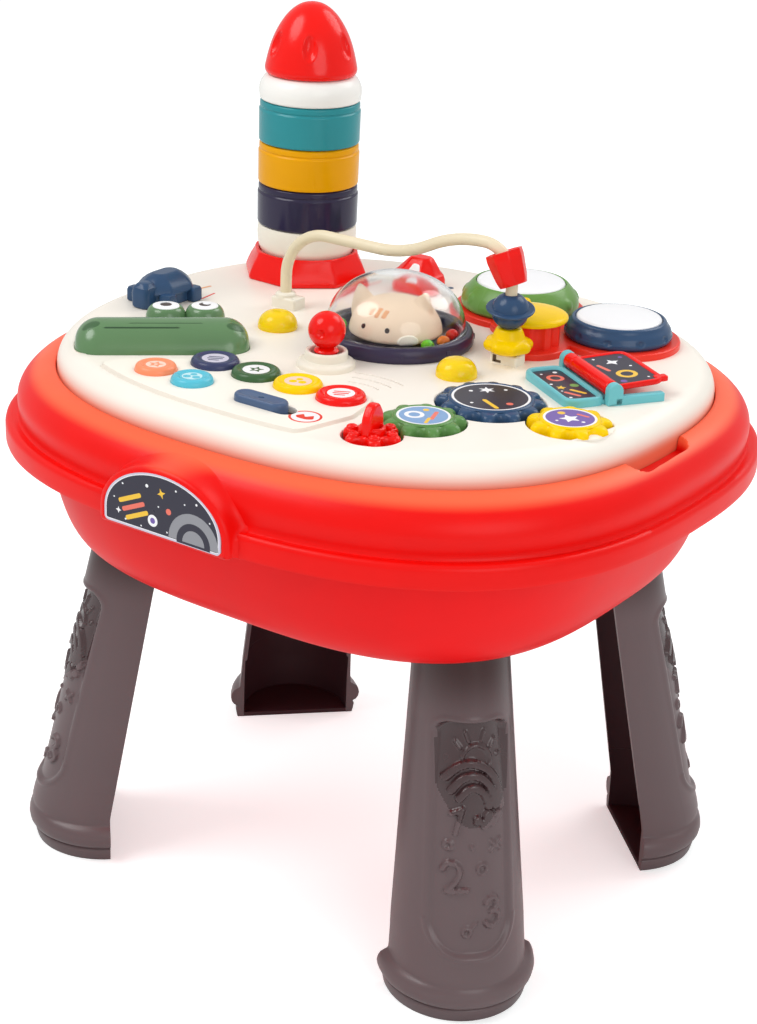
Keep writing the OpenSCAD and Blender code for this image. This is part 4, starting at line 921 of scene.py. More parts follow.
# The foot, from the floor up: height, and how far its sides and its front stand out
FOOT = [(0, -1.0, -1.0), (0.8, -0.6, -0.6), (4, 0.1, 0.2), (6.9, 0.5, 0.8), (7.7, 0.2, 0.5),
        (8.2, -0.6, -0.2), (8.8, -0.6, -0.2), (9.3, 0.4, 0.8), (10.2, 1.9, 2.2), (12.4, 3.4, 3.5),
        (15.4, 4.0, 4.0), (18.4, 3.4, 3.7), (20.8, 1.9, 3.0), (22.2, -0.2, 2.0),
        (23.0, -1.8, 1.5), (24, -2.4, 1.5), (27, -2.6, 1.7), (32, -2.9, 1.3), (38, -3.2, 0.6),
        (46, -3.5, 0)]


def leg_size(z):
    """Half width and reach of a leg at a height."""
    if z >= SHAFT_LOW:
        return (38.5 - 11.5 * (z - SHAFT_LOW) / SHAFT_RUN,
                FOOT_REACH - 6.5 * (z - SHAFT_LOW) / SHAFT_RUN)
    for (low, side_a, front_a), (high, side_b, front_b) in zip(FOOT, FOOT[1:]):
        if z <= high:
            t = (z - low) / (high - low)
            return (FOOT_HALF + side_a + (side_b - side_a) * t,
                    FOOT_REACH + front_a + (front_b - front_a) * t)


def to_segment(x, y, a, b):
    """Distance from a point to a straight stroke."""
    dx, dy = b[0] - a[0], b[1] - a[1]
    t = min(1, max(0, ((x - a[0]) * dx + (y - a[1]) * dy) / max(1e-9, dx * dx + dy * dy)))
    return math.hypot(x - a[0] - t * dx, y - a[1] - t * dy)


# Relief on a leg's outer face, in its width and height
DIGITS = [
    [(-12.5, 121.5), (-6, 124.5), (-10, 111)],
    flow([(-17, 89.5), (-14, 93.6), (-9.5, 93.4), (-7.2, 89.4), (-9.4, 83.6), (-15, 77.6)], 4)
    + [(-3, 79.2)],
    arc(11.8, 69.8, 3.7, 160, -80, 12) + arc(12.2, 61.6, 4.3, 100, -150, 14),
]
FINE = [arc(2.2, 150.5, 9, -15, 165, 14), [(-0.6, 56.6), (2.4, 60)],
        [(11.6, 99.6), (17, 104.8)], [(11.6, 104.8), (17, 99.6)],
        [(-11, 161.4), (-8, 158)], [(-4.8, 166.4), (-2.6, 161.8)], [(7.4, 166.8), (5.6, 162)],
        [(14, 161.2), (11.6, 157.6)], [(16.2, 152.4), (16.2, 152.2)]]
BOWS = [flow(line, 4) for line in (
    [(-16, 141), (-8.5, 148), (0, 149.8), (8.5, 146), (14.6, 137.5), (17.4, 124)],
    [(-12.6, 134.4), (-6.6, 141.2), (0.4, 143.2), (7.2, 140), (11.8, 133), (13.6, 125)],
    [(-8, 130.4), (-3.8, 134.9), (0.6, 136.5), (5.6, 134), (8.6, 129.6), (9.6, 125.6)],
)]
RINGS = [(-14, 103.5, 2.3), (6, 90.5, 2.7), (-3, 55, 2.3), (-0.5, 103, 0.4)]
CLOUD = [(3, 118, 2.8), (7, 115.6, 3.0), (12, 116.4, 3.0), (16, 119, 2.8), (9.5, 119.8, 3.4)]


def to_lines(v, z, lines):
    """Distance from a point to the nearest of some lines."""
    return min(to_segment(v, z, a, b) for line in lines for a, b in zip(line, line[1:]))


def panel_gap(v, z):
    """Distance from the edge of the sunk panel; less than 0 is inside it."""
    half = 24.2 - 3.6 * (z - PANEL_LOW) / (PANEL_HIGH - PANEL_LOW)
    r = 18.0 if z < 100 else 9.0
    dx = abs(v) - (half - r)
    dz = abs(z - (PANEL_LOW + PANEL_HIGH) / 2) - ((PANEL_HIGH - PANEL_LOW) / 2 - r)
    return math.hypot(max(dx, 0), max(dz, 0)) + min(0, max(dx, dz)) - r


def leg_relief(v, z):
    """How far the leg's outer face moves in (-) or out (+) at a place on it."""
    d = panel_gap(v, z)
    sunk = 1 - smooth_step(-1.5, 0.3, d)
    lip = math.exp(-((d - 1.5) / 1.3) ** 2) * (0.9 if z < 60 else 0.45)
    move = lip - sunk * (2.0 + 1.6 * smooth_step(130, 168, z))
    if sunk < 0.9:
        return move
    ring = 0.1 + min(abs(math.hypot(v - x, z - y) - q) for x, y, q in RINGS)
    cloud = min(math.hypot(v - x, z - y) - q for x, y, q in CLOUD)
    # Each mark: its height, its distance, and where its edge starts and ends
    return move + max(
        height * (1 - smooth_step(near, far, away))
        for height, away, near, far in (
            (1.9, to_lines(v, z, DIGITS), 1.1, 1.7), (1.4, to_lines(v, z, FINE), 0.7, 1.4),
            (1.4, ring, 0.7, 1.4), (2.1, to_lines(v, z, BOWS), 1.8, 2.5),
            (1.9, cloud, -0.5, 0.4),
        )
    )


def leg_form():
    """A leg in its own frame: +X points outwards from its inner face."""
    levels = [z for z, _, _ in FOOT if z < 34]
    levels += [35 + 0.75 * k for k in range(191)] + [186, 196, 212]
    outer = []
    for z in levels:
        half, reach = leg_size(z)
        wide = min(29.4, 0.985 * half)
        edge = math.asin(wide / half)
        side = [-math.pi / 2 + (math.pi / 2 - edge) * k / 9 for k in range(9)]
        middle = [math.asin(wide * (k / 44 - 1) / half) for k in range(89)]
        row = []
        for a in side + middle + [-s for s in reversed(side)]:
            v = half * math.sin(a)
            move = leg_relief(v, z) if 36 < z < 178 and abs(v) < wide - 0.1 else 0
            normal = Vector((math.cos(a) / reach, math.sin(a) / half)).normalized()
            x = leg_axis(z) + reach * math.cos(a)
            row.append((x + normal.x * move, v + normal.y * move, z))
        outer.append(row)
    made = Form()
    made.strip(outer, 0)
    # Painted shade over the upper, deeper part of the panel, which ends in a scoop
    for k, row in enumerate(outer[:-1]):
        for i, (_, v, z) in enumerate(row[:-1]):
            scoop = 113 + 0.052 * (v - 1) ** 2
            if z > scoop and panel_gap(v, z) < -0.7:
                made.paint[k * (len(row) - 1) + i] = 2
    # The channel: its walls' back edges, its inside, its ceiling and the plate in the foot. The
    # inside, the ceiling and the plate get the painted shade.
    inner, sides = [], []
    for z, row in zip(levels, outer):
        if z > CHANNEL_TOP:
            break
        half, reach = leg_size(z) if z > SHAFT_LOW else (39.7, 44.6)
        reach -= LEG_WALL + 2 * smooth_step(90, 135, z)
        inner.append([
            (leg_axis(z) + reach * math.cos(a) if abs(a) < 1.5 else leg_axis(z) - 0.2,
             (half - LEG_WALL) * math.sin(a), z)
            for a in (math.pi / 2 - math.pi * k / 40 for k in range(41))
        ])
        sides.append(row)
    made.strip(inner, 1)
    for side in (0, -1):
        made.strip([[a[side], b[-1 - side]] for a, b in zip(sides, inner)], 0)
    made.add(inner[-1], [list(range(len(inner[-1])))], 1)
    made.add(outer[0], [list(range(len(outer[0])))], 0)
    made.slab([(x + 0.1, y) for x, y, _ in reversed(inner[0])], 0.1, LEG_WALL, 0.3, 1)
    back = [row for row in outer if row[0][2] > 185]
    made.strip([[row[0], row[-1]] for row in back], 0)
    return made


leg_mesh = None
for name, sx, sy in (("front_left", -1, -1), ("front_right", 1, -1), ("back_left", -1, 1),
                     ("back_right", 1, 1)):
    place = at(sx * LEG_SPOT[0], sy * LEG_SPOT[1], 0, math.degrees(math.atan2(sy, sx)))
    place.translation *= MM
    if leg_mesh is None:
        leg = piece("leg_" + name + "_dressed", leg_form(), [LEG, LEG_INSIDE_PAINTED_SHADE, LEG_RECESS_PAINTED_SHADE], sharp=50)
        leg_mesh = leg.data
    else:
        leg = shown("leg_" + name + "_dressed", leg_mesh)
    leg.matrix_world = place
    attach(leg, "table")
    leg.matrix_world = place
    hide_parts("leg_" + name)


# ------------------------------------------------------------------ rocket

ROCKET = (-124.5, 85.5)
RING_R = 32.2
PEG_BORE = 11.6
RING_LOW, RING_STEP = DECK + 34, 26.5
NOSE_R, NOSE_LOW = 25.5, RING_LOW + 3 * RING_STEP + 16


def stacking_ring(node, material, z, outside):
    """Ring with an outside profile round a bore."""
    low, high = outside[0][1], outside[-1][1]
    bore = soften([(PEG_BORE, high, 1), (PEG_BORE, low, 1)], 0.8)
    dress(node, Form().lathe(outside + bore + [outside[0]], 0, at(*ROCKET, z), 96), [material])


EIGHTH = math.pi / 4


def base_radius(r, z, t):
    """Eight flats at the foot that fade out towards the round top."""
    part = (t - math.radians(-47.6 + 22.5)) % EIGHTH - EIGHTH / 2
    facet = math.cos(EIGHTH / 2) / math.cos(part)
    facet = min(facet, 0.992 + 0.08 * (1 - facet))
    return r * (1 + (facet - 1) * BASE_FLATS[z])


BASE_SIDE = (
    (39.2, 0, 1.0), (40.6, 0.3, 1.0), (41.0, 1.2, 1.0), (40.9, 2.6, 1.0), (39.5, 6, 0.95),
    (37.6, 10, 0.85), (35.2, 13.8, 0.7), (34.3, 16, 0.5), (33.7, 16.8, 0.4), (32.9, 17, 0.3),
    (31.4, 16.7, 0.2), (30.6, 15.8, 0.1), (30.3, 13.4, 0.0),
)
BASE_FLATS = {z: flats for _, z, flats in BASE_SIDE}
base = Form()
base.loft(turned([(r, z) for r, z, _ in BASE_SIDE], 192, base_radius), 0, at(*ROCKET, DECK))
for k in range(4):
    # Fin windows: a pale opening inside a raised dark red edge
    turn = -92.6 + 90 * k
    place = (at(*ROCKET, DECK) @ spin("Z", turn) @ at(35.4, 0, 1.2) @ spin("Y", -17)
             @ spin("Z", 90) @ spin("X", 90))
    window = soften([(-6, 0), (6, 0), (1.4, 11), (-1.4, 11)], 2.2, 5, True)
    frame_steps = [(-1.0, 0.6), (-0.7, 1.5), (-0.2, 1.8), (0.4, 1.5), (0.7, 0.6)]
    base.loft(stepped(window, frame_steps), 0, place, caps=(False, False))
    base.flat(shrink(window, 0.6), 1.0, (), 1, place)
dress("rocket_base", base, [TOY_RED, STRIPE], False, sharp=44)

collar = Form()
collar.lathe(
    flow([(0, 13.4), (26, 13.4), (28.4, 14.4), (30.4, 18), (31.6, 23), (31.9, 28), (31.6, 32),
          (31.3, 33.4)], 4)[4:] + [(30.6, 33.8), (11, 33.8)] + [(11, 34), (11, 143), (9, 144.6),
                                                                (0, 144.8)],
    0, at(*ROCKET, DECK), 96,
)
dress("rocket_collar", collar, [IVORY], False)

RING_SIDE = soften(
    [(PEG_BORE, 0, 0), (RING_R - 0.2, 0, 1.4), (RING_R, 20.4, 0.5), (RING_R - 0.9, 21.4, 0.4),
     (RING_R - 0.9, 22, 0.3), (RING_R - 0.5, 22.4, 0.3), (RING_R - 0.6, 25.4, 0.9),
     (RING_R - 2.0, 26.2, 0.8), (PEG_BORE, 26.2, 0)],
    0.4, 4,
)
for k, (name, material) in enumerate((("navy", INDIGO), ("yellow", AMBER), ("teal", TEAL))):
    stacking_ring("ring_" + name, material, RING_LOW + RING_STEP * k, RING_SIDE[1:-1])
white_side = flow(
    [(31.0, 0), (31.9, 0.9), (32.2, 3), (32.4, 5.6), (32.0, 8.8), (30.8, 11.8), (28.9, 14.2),
     (26.6, 15.5), (24.5, 15.7)], 4,
)
stacking_ring("ring_white", WHITE, RING_LOW + RING_STEP * 3, white_side)


def nose_radius(r, z, t):
    """Six tear-shaped dents round the nose."""
    across = ((math.degrees(t) + 56 + 30) % 60 - 30) / 180 * math.pi * NOSE_R
    d = math.hypot(across / 4.3, (z - 19.5) / 7.6)
    deep = 2.9 * max(0, 1 - d * d) ** 0.8 if d < 1 else 0
    lip = 0.3 * math.exp(-((d - 1.08) / 0.14) ** 2) if r > 12 else 0
    return r - deep + lip


profile = flow(
    [(20, 0), (26.6, 0), (28.4, 1.0), (29.0, 3.0), (28.8, 5.2), (28.0, 9.0), (26.7, 14.2),
     (24.9, 19.9), (22.5, 25.6), (19.4, 31.2), (15.6, 36.4), (11.1, 40.6), (6, 43.4), (0, 44.5)], 5,
)
nose = Form()
nose.loft(turned(profile[5:], 168, nose_radius), 0, at(*ROCKET, NOSE_LOW), caps=(True, False))
piece("nose_dressed", nose, [TOY_RED], "nose_cone_body", ("nose_cone",), sharp=60)


# ------------------------------------------------------------------ bead arch

ARCH_Y = 18.0
ARCH_LEFT, ARCH_RIGHT = -89.0, 73.0
LEFT_BEND, RIGHT_BEND = ARCH_LEFT + 30, ARCH_RIGHT - 20


def bend(x, z, r, start, end, steps=14):
    """Part of the rod's path: an arc in its upright plane."""
    return [(u, ARCH_Y, w) for u, w in arc(x, z, r, start, end, steps)]


wave = math.acos(1 - 18.5 / 160)
wave_x = RIGHT_BEND - 160 * math.sin(wave)
deg = math.degrees(wave)
path = (
    [(ARCH_LEFT, ARCH_Y, DECK - 2), (ARCH_LEFT, ARCH_Y, DECK + 10)]
    + bend(LEFT_BEND, DECK + 20, 30, 180, 90)
    + [(LEFT_BEND + (wave_x - LEFT_BEND) * k / 4, ARCH_Y, DECK + 50) for k in range(1, 4)]
    + bend(wave_x, DECK + 130, 80, 270, 270 + deg)
    + bend(RIGHT_BEND, DECK - 11.5, 80, 90 + deg, 90)[1:]
    + bend(RIGHT_BEND, DECK + 48.5, 20, 90, 0)[1:]
    + [(ARCH_RIGHT, ARCH_Y, DECK + 24), (ARCH_RIGHT, ARCH_Y, DECK - 2)]
)
arch = Form().tube(path, 3.5, 0, 28)
piece("arch_rod", arch, [ROD], stands_for=("arch_tube",))

feet = Form()
feet.slab(block(ARCH_LEFT + 2, ARCH_Y, 9, 6, 1.6), DECK, DECK + 7, 1.2)
feet.lathe(soften([(6.4, DECK + 6), (6.4, DECK + 8.4), (5.6, DECK + 9.4), (3.5, DECK + 9.6)], 0.8),
           0, at(ARCH_LEFT, ARCH_Y, 0), 40)
feet.slab(block(ARCH_RIGHT, ARCH_Y, 9, 5.5, 1.4), DECK, DECK + 6, 1.0)
feet.slab(block(ARCH_RIGHT - 5.4, ARCH_Y - 5.3, 1.2, 0.5, 0.2), DECK + 1, DECK + 5.2, 0.1, 1)
feet.slab(block(ARCH_RIGHT - 3.4, ARCH_Y - 5.3, 2.4, 0.5, 0.2), DECK + 1, DECK + 2.4, 0.1, 1)
dress("arch_feet", feet, [IVORY, SLOT_DARK], False)

BORE = 4.1
yellow = Form()
yellow_side = soften(
    [(BORE, 0, 0), (8.4, 0, 0.6), (10.5, 1.2, 0.8), (13.4, 2.4, 1.4), (14.4, 5.6, 1.8),
     (12.6, 8.0, 1.6), (9.6, 9.2, 1.2), (8.7, 12.2, 1.6), (7.2, 15, 0.9), (BORE, 15, 0)],
    1, 5,
)
rings = turned([*yellow_side, (BORE, 0)], 96,
               lambda r, z, t: r * (1 + 0.045 * math.cos(8 * t) * smooth_step(10, 13.5, r)))
yellow.loft(rings, 0, at(ARCH_RIGHT, ARCH_Y, DECK + 6.3), caps=(False, False))
dress("bead_yellow", yellow, [YELLOW])

blue = Form()
ball = [(BORE, -9.8), *bow(11, 11, range(-62, 63, 4)), (BORE, 9.8), (BORE, -9.8)]
blue.lathe(ball, 0, at(ARCH_RIGHT, ARCH_Y, DECK + 31.5), 72)
tilt = at(ARCH_RIGHT, ARCH_Y, DECK + 31.5) @ spin("Y", 6) @ spin("X", 8) @ at(0, 0, 1.5)
blue.lathe(soften([(10.0, -0.9), (13.6, -0.8), (14.4, 0, 0.6), (13.6, 0.8), (10.0, 0.9)], 0.4),
           0, tilt, 72)
dress("bead_blue", blue, [NAVY])

barrel_place = at(RIGHT_BEND, ARCH_Y, DECK + 48.5) @ spin("Y", -24) @ at(18.6, 0, 0)
red = Form()
side = flow([(8.0, -10), (9.0, -7), (9.7, -3), (10.4, 2), (10.9, 6), (10.8, 8.6)], 4)
side = [(5.9, -10), (7.4, -10)] + side + [(10.9, 9.8), (9.9, 10), (9.2, 9.4), (8.8, 8.2),
                                          (5.9, 8.0), (5.9, -10)]


def red_radius(r, z, t):
    """Eight soft flats, and a groove on the side that is seen."""
    part = t % EIGHTH - EIGHTH / 2
    facet = 1 + (math.cos(EIGHTH / 2) / math.cos(part) - 0.985) * smooth_step(8, 9.4, r)
    away = abs((math.degrees(t) + 60) % 360 - 180)
    groove = 1.3 * (1 - smooth_step(5, 11, away)) if away < 14 and -4 < z < 6 and r > 9 else 0.0
    return r * min(1.02, facet) - groove


red.loft(turned(side, 96, red_radius), 0, barrel_place, caps=(False, False))
dress("bead_red", red, [TOY_RED], sharp=50)


# ------------------------------------------------------------------ dome with the cat

DOME = (0.0, 9.0)
ring = Form()
ring.lathe(
    soften([(0, 2.2, 0), (38.3, 2.2, 0.4), (38.3, 7.3, 0.5), (42.2, 7.3, 0.3),
            (42.4, 8.8, 0.3), (43.4, 9.0, 0.8), (45.6, 8.3, 1.6), (46.8, 5, 2), (46.9, 1.8, 1.6),
            (45.8, 0, 0)], 0.6, 5),
    0, at(*DOME, DECK), 120,
)
for turn in (-50, -14, 35, 130, 200, 262):
    t = math.radians(turn)
    clip = at(46.2 * math.cos(t), DOME[1] + 46.2 * math.sin(t), DECK + 4.4, turn + 90)
    ring.slab(block(0, 0, 1.5, 0.9, 0.3), -1.4, 1.4, 0.35, 0, clip)
dress("dome_ring", ring, [DOME_RING], False)

shell = Form()
outside, inner = (
    bow(41.5 - wall, 32 - wall, range(0, 90, 3), 8.9, 0.85) + [(0, 8.9 + (32 - wall))]
    for wall in (0, 1.3)
)
shell.lathe(outside[::-1] + [(42, 8.9), (42, 7.5), (39.9, 7.5)] + inner, 0, at(*DOME, DECK), 120)
dress("clear_dome", shell, [CLEAR], False, sharp=50)

CAT_TURN, CAT_Z = 15.0, DECK + 5
cat = Form()
cat_profile = [(0, 0), (25.4, 0)] + bow(28, 22, range(3, 89, 4), power=0.8) + [(0, 22)]
cat.lathe(soften(cat_profile, 1.2, 3), 0, at(*DOME, CAT_Z), 96)
for side in (-1, 1):
    ear = at(*DOME, CAT_Z, CAT_TURN) @ at(side * 16 - 2.6, 0, 8) @ spin("Y", side * 15)
    cat.loft([ellipse(a, b, z, 32) for z, a, b in (
        (-2, 9.4, 6.4), (5, 8.8, 5.4), (11, 6.4, 4.2), (15.4, 3.8, 2.8), (18.2, 1.7, 1.6),
        (19, 0.5, 0.6))], 0, ear)
cat.lathe([(0, -3), (9, -3), (9, 1)], 0, at(*DOME, CAT_Z), 40)
cat_skin = skin_of(cat)
head = dress("cat_head", cat, [CAT])
melt(head, 0.7, 5)


def on_head(turn, z, lean):
    """Place in front of the head, looking at it: turn from its face, height and lean up."""
    t = math.radians(-90 + CAT_TURN - 9 + turn)
    outwards = towards(t, lean)
    spot = Vector((*DOME, CAT_Z + z)) + outwards * CAST
    across = Vector((0, 0, 1)).cross(outwards).normalized()
    over = outwards.cross(across)
    return Matrix(((across.x, over.x, outwards.x, spot.x), (across.y, over.y, outwards.y, spot.y),
                   (across.z, over.z, outwards.z, spot.z), (0, 0, 0, 1)))


face = Form()
for side in (-1, 1):
    decal(face, cat_skin, circle(0, 0, 1.45, 24), on_head(side * 17.5, 8.6, 0), 0, 0.5)
for offset, length in ((-4.4, 2.4), (0, 3.4), (4.4, 2.8)):
    loop = soften([(offset - 1.5, -length), (offset + 1.3, -length), (offset + 1.7, length),
                   (offset - 1.2, length)], 0.7, 3, True)
    decal(face, cat_skin, loop, on_head(-3, 5, 30), 1, 0.3, 6)
decal(face, cat_skin, circle(0, 0, 6.4, 40, 0.6), on_head(44, 2.6, 0), 2, 0.8, 6)
piece("cat_face", face, [BROWN, STRIPE, PAW], "cat_head_body", slot="cat_head")

balls = Form()
for x, y, paint in ((31, -12, 0), (34, 0, 1), (31, 14, 2), (-33, 9, 3), (-31, -13, 0)):
    balls.lathe(bow(3.9, 3.9, range(-90, 91, 10)), paint, at(x, DOME[1] + y, DECK + 6), 32)
dress("popper_balls", balls, [plastic("ball_" + name, rgb, 0.15) for name, rgb in (
    ("green", (110, 205, 40)), ("orange", (240, 120, 30)), ("red", (225, 40, 30)),
    ("yellow", (245, 205, 40)))], False)


# ------------------------------------------------------------------ joystick and lights

JOYSTICK = (-2.5, -56.5)
socket = Form()
socket.lathe(
    soften([(17, 0, 0), (17, 2.6, 1.4), (15.2, 4.0, 0.9), (12.5, 4.5, 0.5), (12.4, 9.0, 0.9),
            (11.5, 10, 0.7), (9.8, 9.6, 0.7), (9.4, 8, 0.6), (9.3, 0.4, 0), (0, 0.4, 0)], 0.6, 5),
    0, at(*JOYSTICK, DECK), 80,
)
dress("joystick_socket", socket, [IVORY], False)

stick = Form()
rows = []
dimple = Vector((math.cos(math.radians(-74)), math.sin(math.radians(-74)), 0.02)).normalized()
for a in range(-66, 91, 3):
    row = []
    for t in around(96):
        n = towards(t, a)
        away = math.degrees(math.acos(max(-1, min(1, n.dot(dimple)))))
        deep = 1.9 * max(0, 1 - (away / 13.5) ** 2) ** 0.6 if away < 13.5 else 0
        row.append(tuple(n * (10.8 - deep)))
    rows.append(row)
neck = [ellipse(r, r, z, 96) for r, z in (
    (3, -19.9), (4, -19.4), (4, -15), (6.4, -13.8), (7.2, -12.4), (6.6, -11.2), (5.0, -10.4))]
stick.loft(neck + rows, 0, at(*JOYSTICK, DECK + 21.5), caps=(True, False))
dress("joystick_ball", stick, [TOY_RED], sharp=50)

lights = Form()
lens = [(11.9, 0), (12.0, 0.6), *bow(12.1, 9.9, range(8, 86, 6), 0.8, 0.72), (0, 10.7)]
for x, y in ((-66.5, -19), (63.5, -21)):
    lights.lathe(soften(lens, 0.5, 2), 0, at(x, y, DECK), 72)
dress("light_lenses", lights, [LAMP], False)


# ------------------------------------------------------------------ frog

frog_place = at(*FROG_AT, DECK - FROG_DROP, FROG_TURN)
frog = Form()
rows = []
spots = [-FROG_HALF + 2 * FROG_HALF * (0.5 - 0.5 * math.cos(math.pi * k / 60)) for k in range(61)]
for x in spots:
    r = max(4.6, frog_radius(x)) if abs(x) > FROG_HALF - 0.01 else frog_radius(x)
    rows.append([(x, r * math.cos(t), r * math.sin(t)) for t in around(96)])
frog.loft(rows, 0, frog_place)
frog_skin = skin_of(frog)


def on_roller(x, turn):
    """Place over the roller, at a distance along it and a turn round it from the top."""
    return frog_place @ spin("X", turn) @ at(x, 0, CAST)


for x, turn in ((-41, 20), (42, 24)):
    decal(frog, frog_skin, circle(0, 0, 5.2, 36, 0.62, 8), on_roller(x, turn), 1, 0.1, 6)
for start, end, turn, wide in ((-34.5, 10.5, 30, 0.75), (-20, 24, 18, 0.35)):
    line = []
    for k in range(25):
        x = start + (end - start) * k / 24
        place = on_roller(x, turn + (0.9 if k in (0, 24) else 0))
        line.append(place @ Vector((0, 0, FROG_R - CAST - wide * 0.55)))
    frog.tube(line, [wide * (0.4 if k in (0, 24) else 1) for k in range(25)], 2, 10)
dress("frog_roller", frog, [FROG, FROG_DARK, plastic("frog_line", (52, 82, 54), 0.4)], sharp=50)

eyes = Form()
for k, (x, y) in enumerate(((3, 32), (26, 32))):
    place = at(*FROG_AT, DECK, FROG_TURN) @ at(x, y, 0)
    eyes.lathe(
        soften([(11.2, 0, 0), (12.1, 2, 1.6), (12.1, 8.6, 2.8), (10.4, 12.6, 2.2), (8.6, 14.0, 0.9),
                (8.0, 13.8, 0.4)], 0.8, 5), 0, place, 64,
    )
    eyes.lathe([(8.05, 13.8), (7.9, 14.2), (7.3, 14.4), (3.5, 14.7)], 1, place, 64)
    eyes.lathe([(3.5, 14.7), (3.1, 14.82), (0, 14.9)], 2, place, 48)
    if k:
        eyes.flat(circle(1.2, 1.0, 2.4, 24), 14.98, (), 1, place)
dress("frog_eyes", eyes, [FROG, PRINT_WHITE, BROWN], False)


# ------------------------------------------------------------------ turtle and racer

turtle = Form()
turtle_rows = raised((z, eight_sided(a, b, corner, 2.0)) for z, a, b, corner in (
    (0, 11.4, 16.4, 6), (1, 12, 17, 6.4), (6.4, 12, 17, 6.4), (7.0, 11.7, 16.7, 6.2),
    (7.2, 14.1, 18.6, 8.6), (8.2, 14.5, 19, 8.8), (11, 13.4, 17.9, 8.2), (14, 11.2, 15.7, 7),
    (16.4, 8.4, 12.9, 5.2), (18, 5.6, 10.1, 3.4), (18.4, 4.8, 9.3, 3), (18.5, 4, 8.5, 2.4),
))
FIGURE_Z = DECK + 0.3
turtle.loft(turtle_rows, 0, at(TURTLE[0], TURTLE[1] + 3.5, FIGURE_Z))
head_rows = raised((z, block(0, -15, a, b, 4.2)) for z, a, b in (
    (0, 5.8, 6.2), (1, 6.4, 6.8), (9, 6.7, 7.0), (12.6, 6.1, 6.4), (14.8, 4.3, 4.6),
    (15.6, 2.2, 2.4)))
turtle.loft(head_rows, 0, at(*TURTLE, FIGURE_Z))
for x, y in ((-13, -9), (13, -9), (-13, 15), (13, 15)):
    foot_rows = raised((z, block(x, y, a, b, 2.4)) for z, a, b in (
        (0, 4.0, 3.9), (0.8, 4.4, 4.3), (7, 4.4, 4.3), (8.6, 3.8, 3.7), (9.0, 2.4, 2.3)))
    turtle.loft(foot_rows, 0, at(*TURTLE, FIGURE_Z))
turtle.slab(block(0, 0, 2.6, 5, 0.4), -5, 1, 0.2, 0, at(*TURTLE, FIGURE_Z))
piece("turtle_dressed", turtle, [NAVY], "turtle_slider_body", ("turtle_slider",), sharp=24)

racer = Form()
racer_rows = raised((z, placed(eight_sided(a, b, corner, 1.6), shift, 0, 0))
                    for z, a, b, shift, corner in (
    (0, 15.6, 10.8, 0, 6), (1, 16.8, 11.8, 0, 6), (6, 17, 12, 0, 6.4), (9, 16.2, 11.4, 0, 6.4),
    (10.4, 14.4, 10.2, 0.4, 6), (15, 11.0, 8.0, 1.2, 4.6), (18.6, 8.0, 5.8, 1.8, 3),
    (19.8, 6.6, 4.4, 2.0, 2.4), (20.0, 5.6, 3.4, 2.0, 2),
))
racer.loft(racer_rows, 0, at(*RACER, FIGURE_Z))
racer_skin = skin_of(racer)
side = Matrix(((1, 0, 0, RACER[0]), (0, 0, -1, RACER[1] - 33), (0, 1, 0, DECK + 13.5),
               (0, 0, 0, 1)))
window = soften([(-3, -3.4), (7.4, -3), (5.4, 3.2), (0.5, 3.6)], 1.6, 4, True)
decal(racer, racer_skin, window, side, 1, 0.25, 5)
racer.slab(block(0, 0, 5, 2.6, 0.4), -5, 1, 0.2, 0, at(*RACER, FIGURE_Z))
piece("racer_dressed", racer, [TOY_RED, PRINT_WHITE], "racer_slider_body", ("racer_slider",),
      sharp=24)


# ------------------------------------------------------------------ buttons

# Lower end of a button's post, from the keypad's top
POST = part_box("button_navy")[0][2] / MM - PAD
BUTTON_PRINTS = {
    "navy": (KEY_NAVY, PRINT_LILAC), "green": (KEY_GREEN, PRINT_WHITE),
    "yellow": (YELLOW, PRINT_PINK), "red": (TOY_RED, PRINT_WHITE),
    "coral": (CORAL, PRINT_PINK), "sky": (SKY, PRINT_AQUA),
}
for index, (name, (spot, r)) in enumerate(BUTTONS.items()):
    shell_colour, print_colour = BUTTON_PRINTS[name]
    key = Form()
    inner = r - 5.2
    key.lathe(
        soften([(2.5, POST, 0), (2.5, -6.8, 0), (r, -6.8, 0), (r, 1.2, 1.0), (r - 0.9, 3.1, 1.2),
                (r - 2.6, 3.9, 1.2), (r - 4.2, 3.5, 0.8), (inner, 3.0, 0.6),
                (inner - 0.5, 3.1, 0.2)], 0.8, 5),
        0, at(*spot, PAD), 72,
    )
    top = [(circle(0, 0, inner - 1.1, 40), 1)]
    if index % 3 == 0:
        top += [(stadium(0, 2.2, 4.6, 0.7, 10), 0), (stadium(0, -0.6, 4.6, 0.7, 10), 0),
                (stadium(0, -3.4, 3.2, 0.7, 10), 0)]
    elif index % 3 == 1:
        top += [(star(0, 0, 4.8, 2.2, 5, 18, 0.6), 0), (circle(0, 0, 1.1, 18), 1)]
    else:
        top += [(circle(-2.6, -1.2, 2.3, 24), 0), (circle(2.8, -1.2, 2.3, 24), 0),
                (circle(0, 3.0, 2.0, 24), 0)]
    key.flat(circle(0, 0, inner - 0.5, 72), 3.1, (), 0, at(*spot, PAD, 20), top)
    dress("button_" + name, key, [shell_colour, print_colour])

slide = Form()
loop = stadium(*SLIDER_AT, SLIDER_HALF_L, SLIDER_HALF_W)
rings = [(0, -6.8), (0, 2.2), (0.25, 3.2), (0.9, 3.9), (1.8, 4.0), (3.0, 3.7), (4.2, 3.5)]
slide.loft(stepped(loop, [(d, PAD + z) for d, z in rings]))
slide.slab(block(SLIDER_AT[0], SLIDER_AT[1], 1.6, 0.45, 0.4, 30), PAD + 3.3, PAD + 3.75, 0.1, 1)
dress("mode_slider", slide, [SLATE, NAVY])


# ------------------------------------------------------------------ gears

GEAR_LOW, FACE = 325.3, 11.35


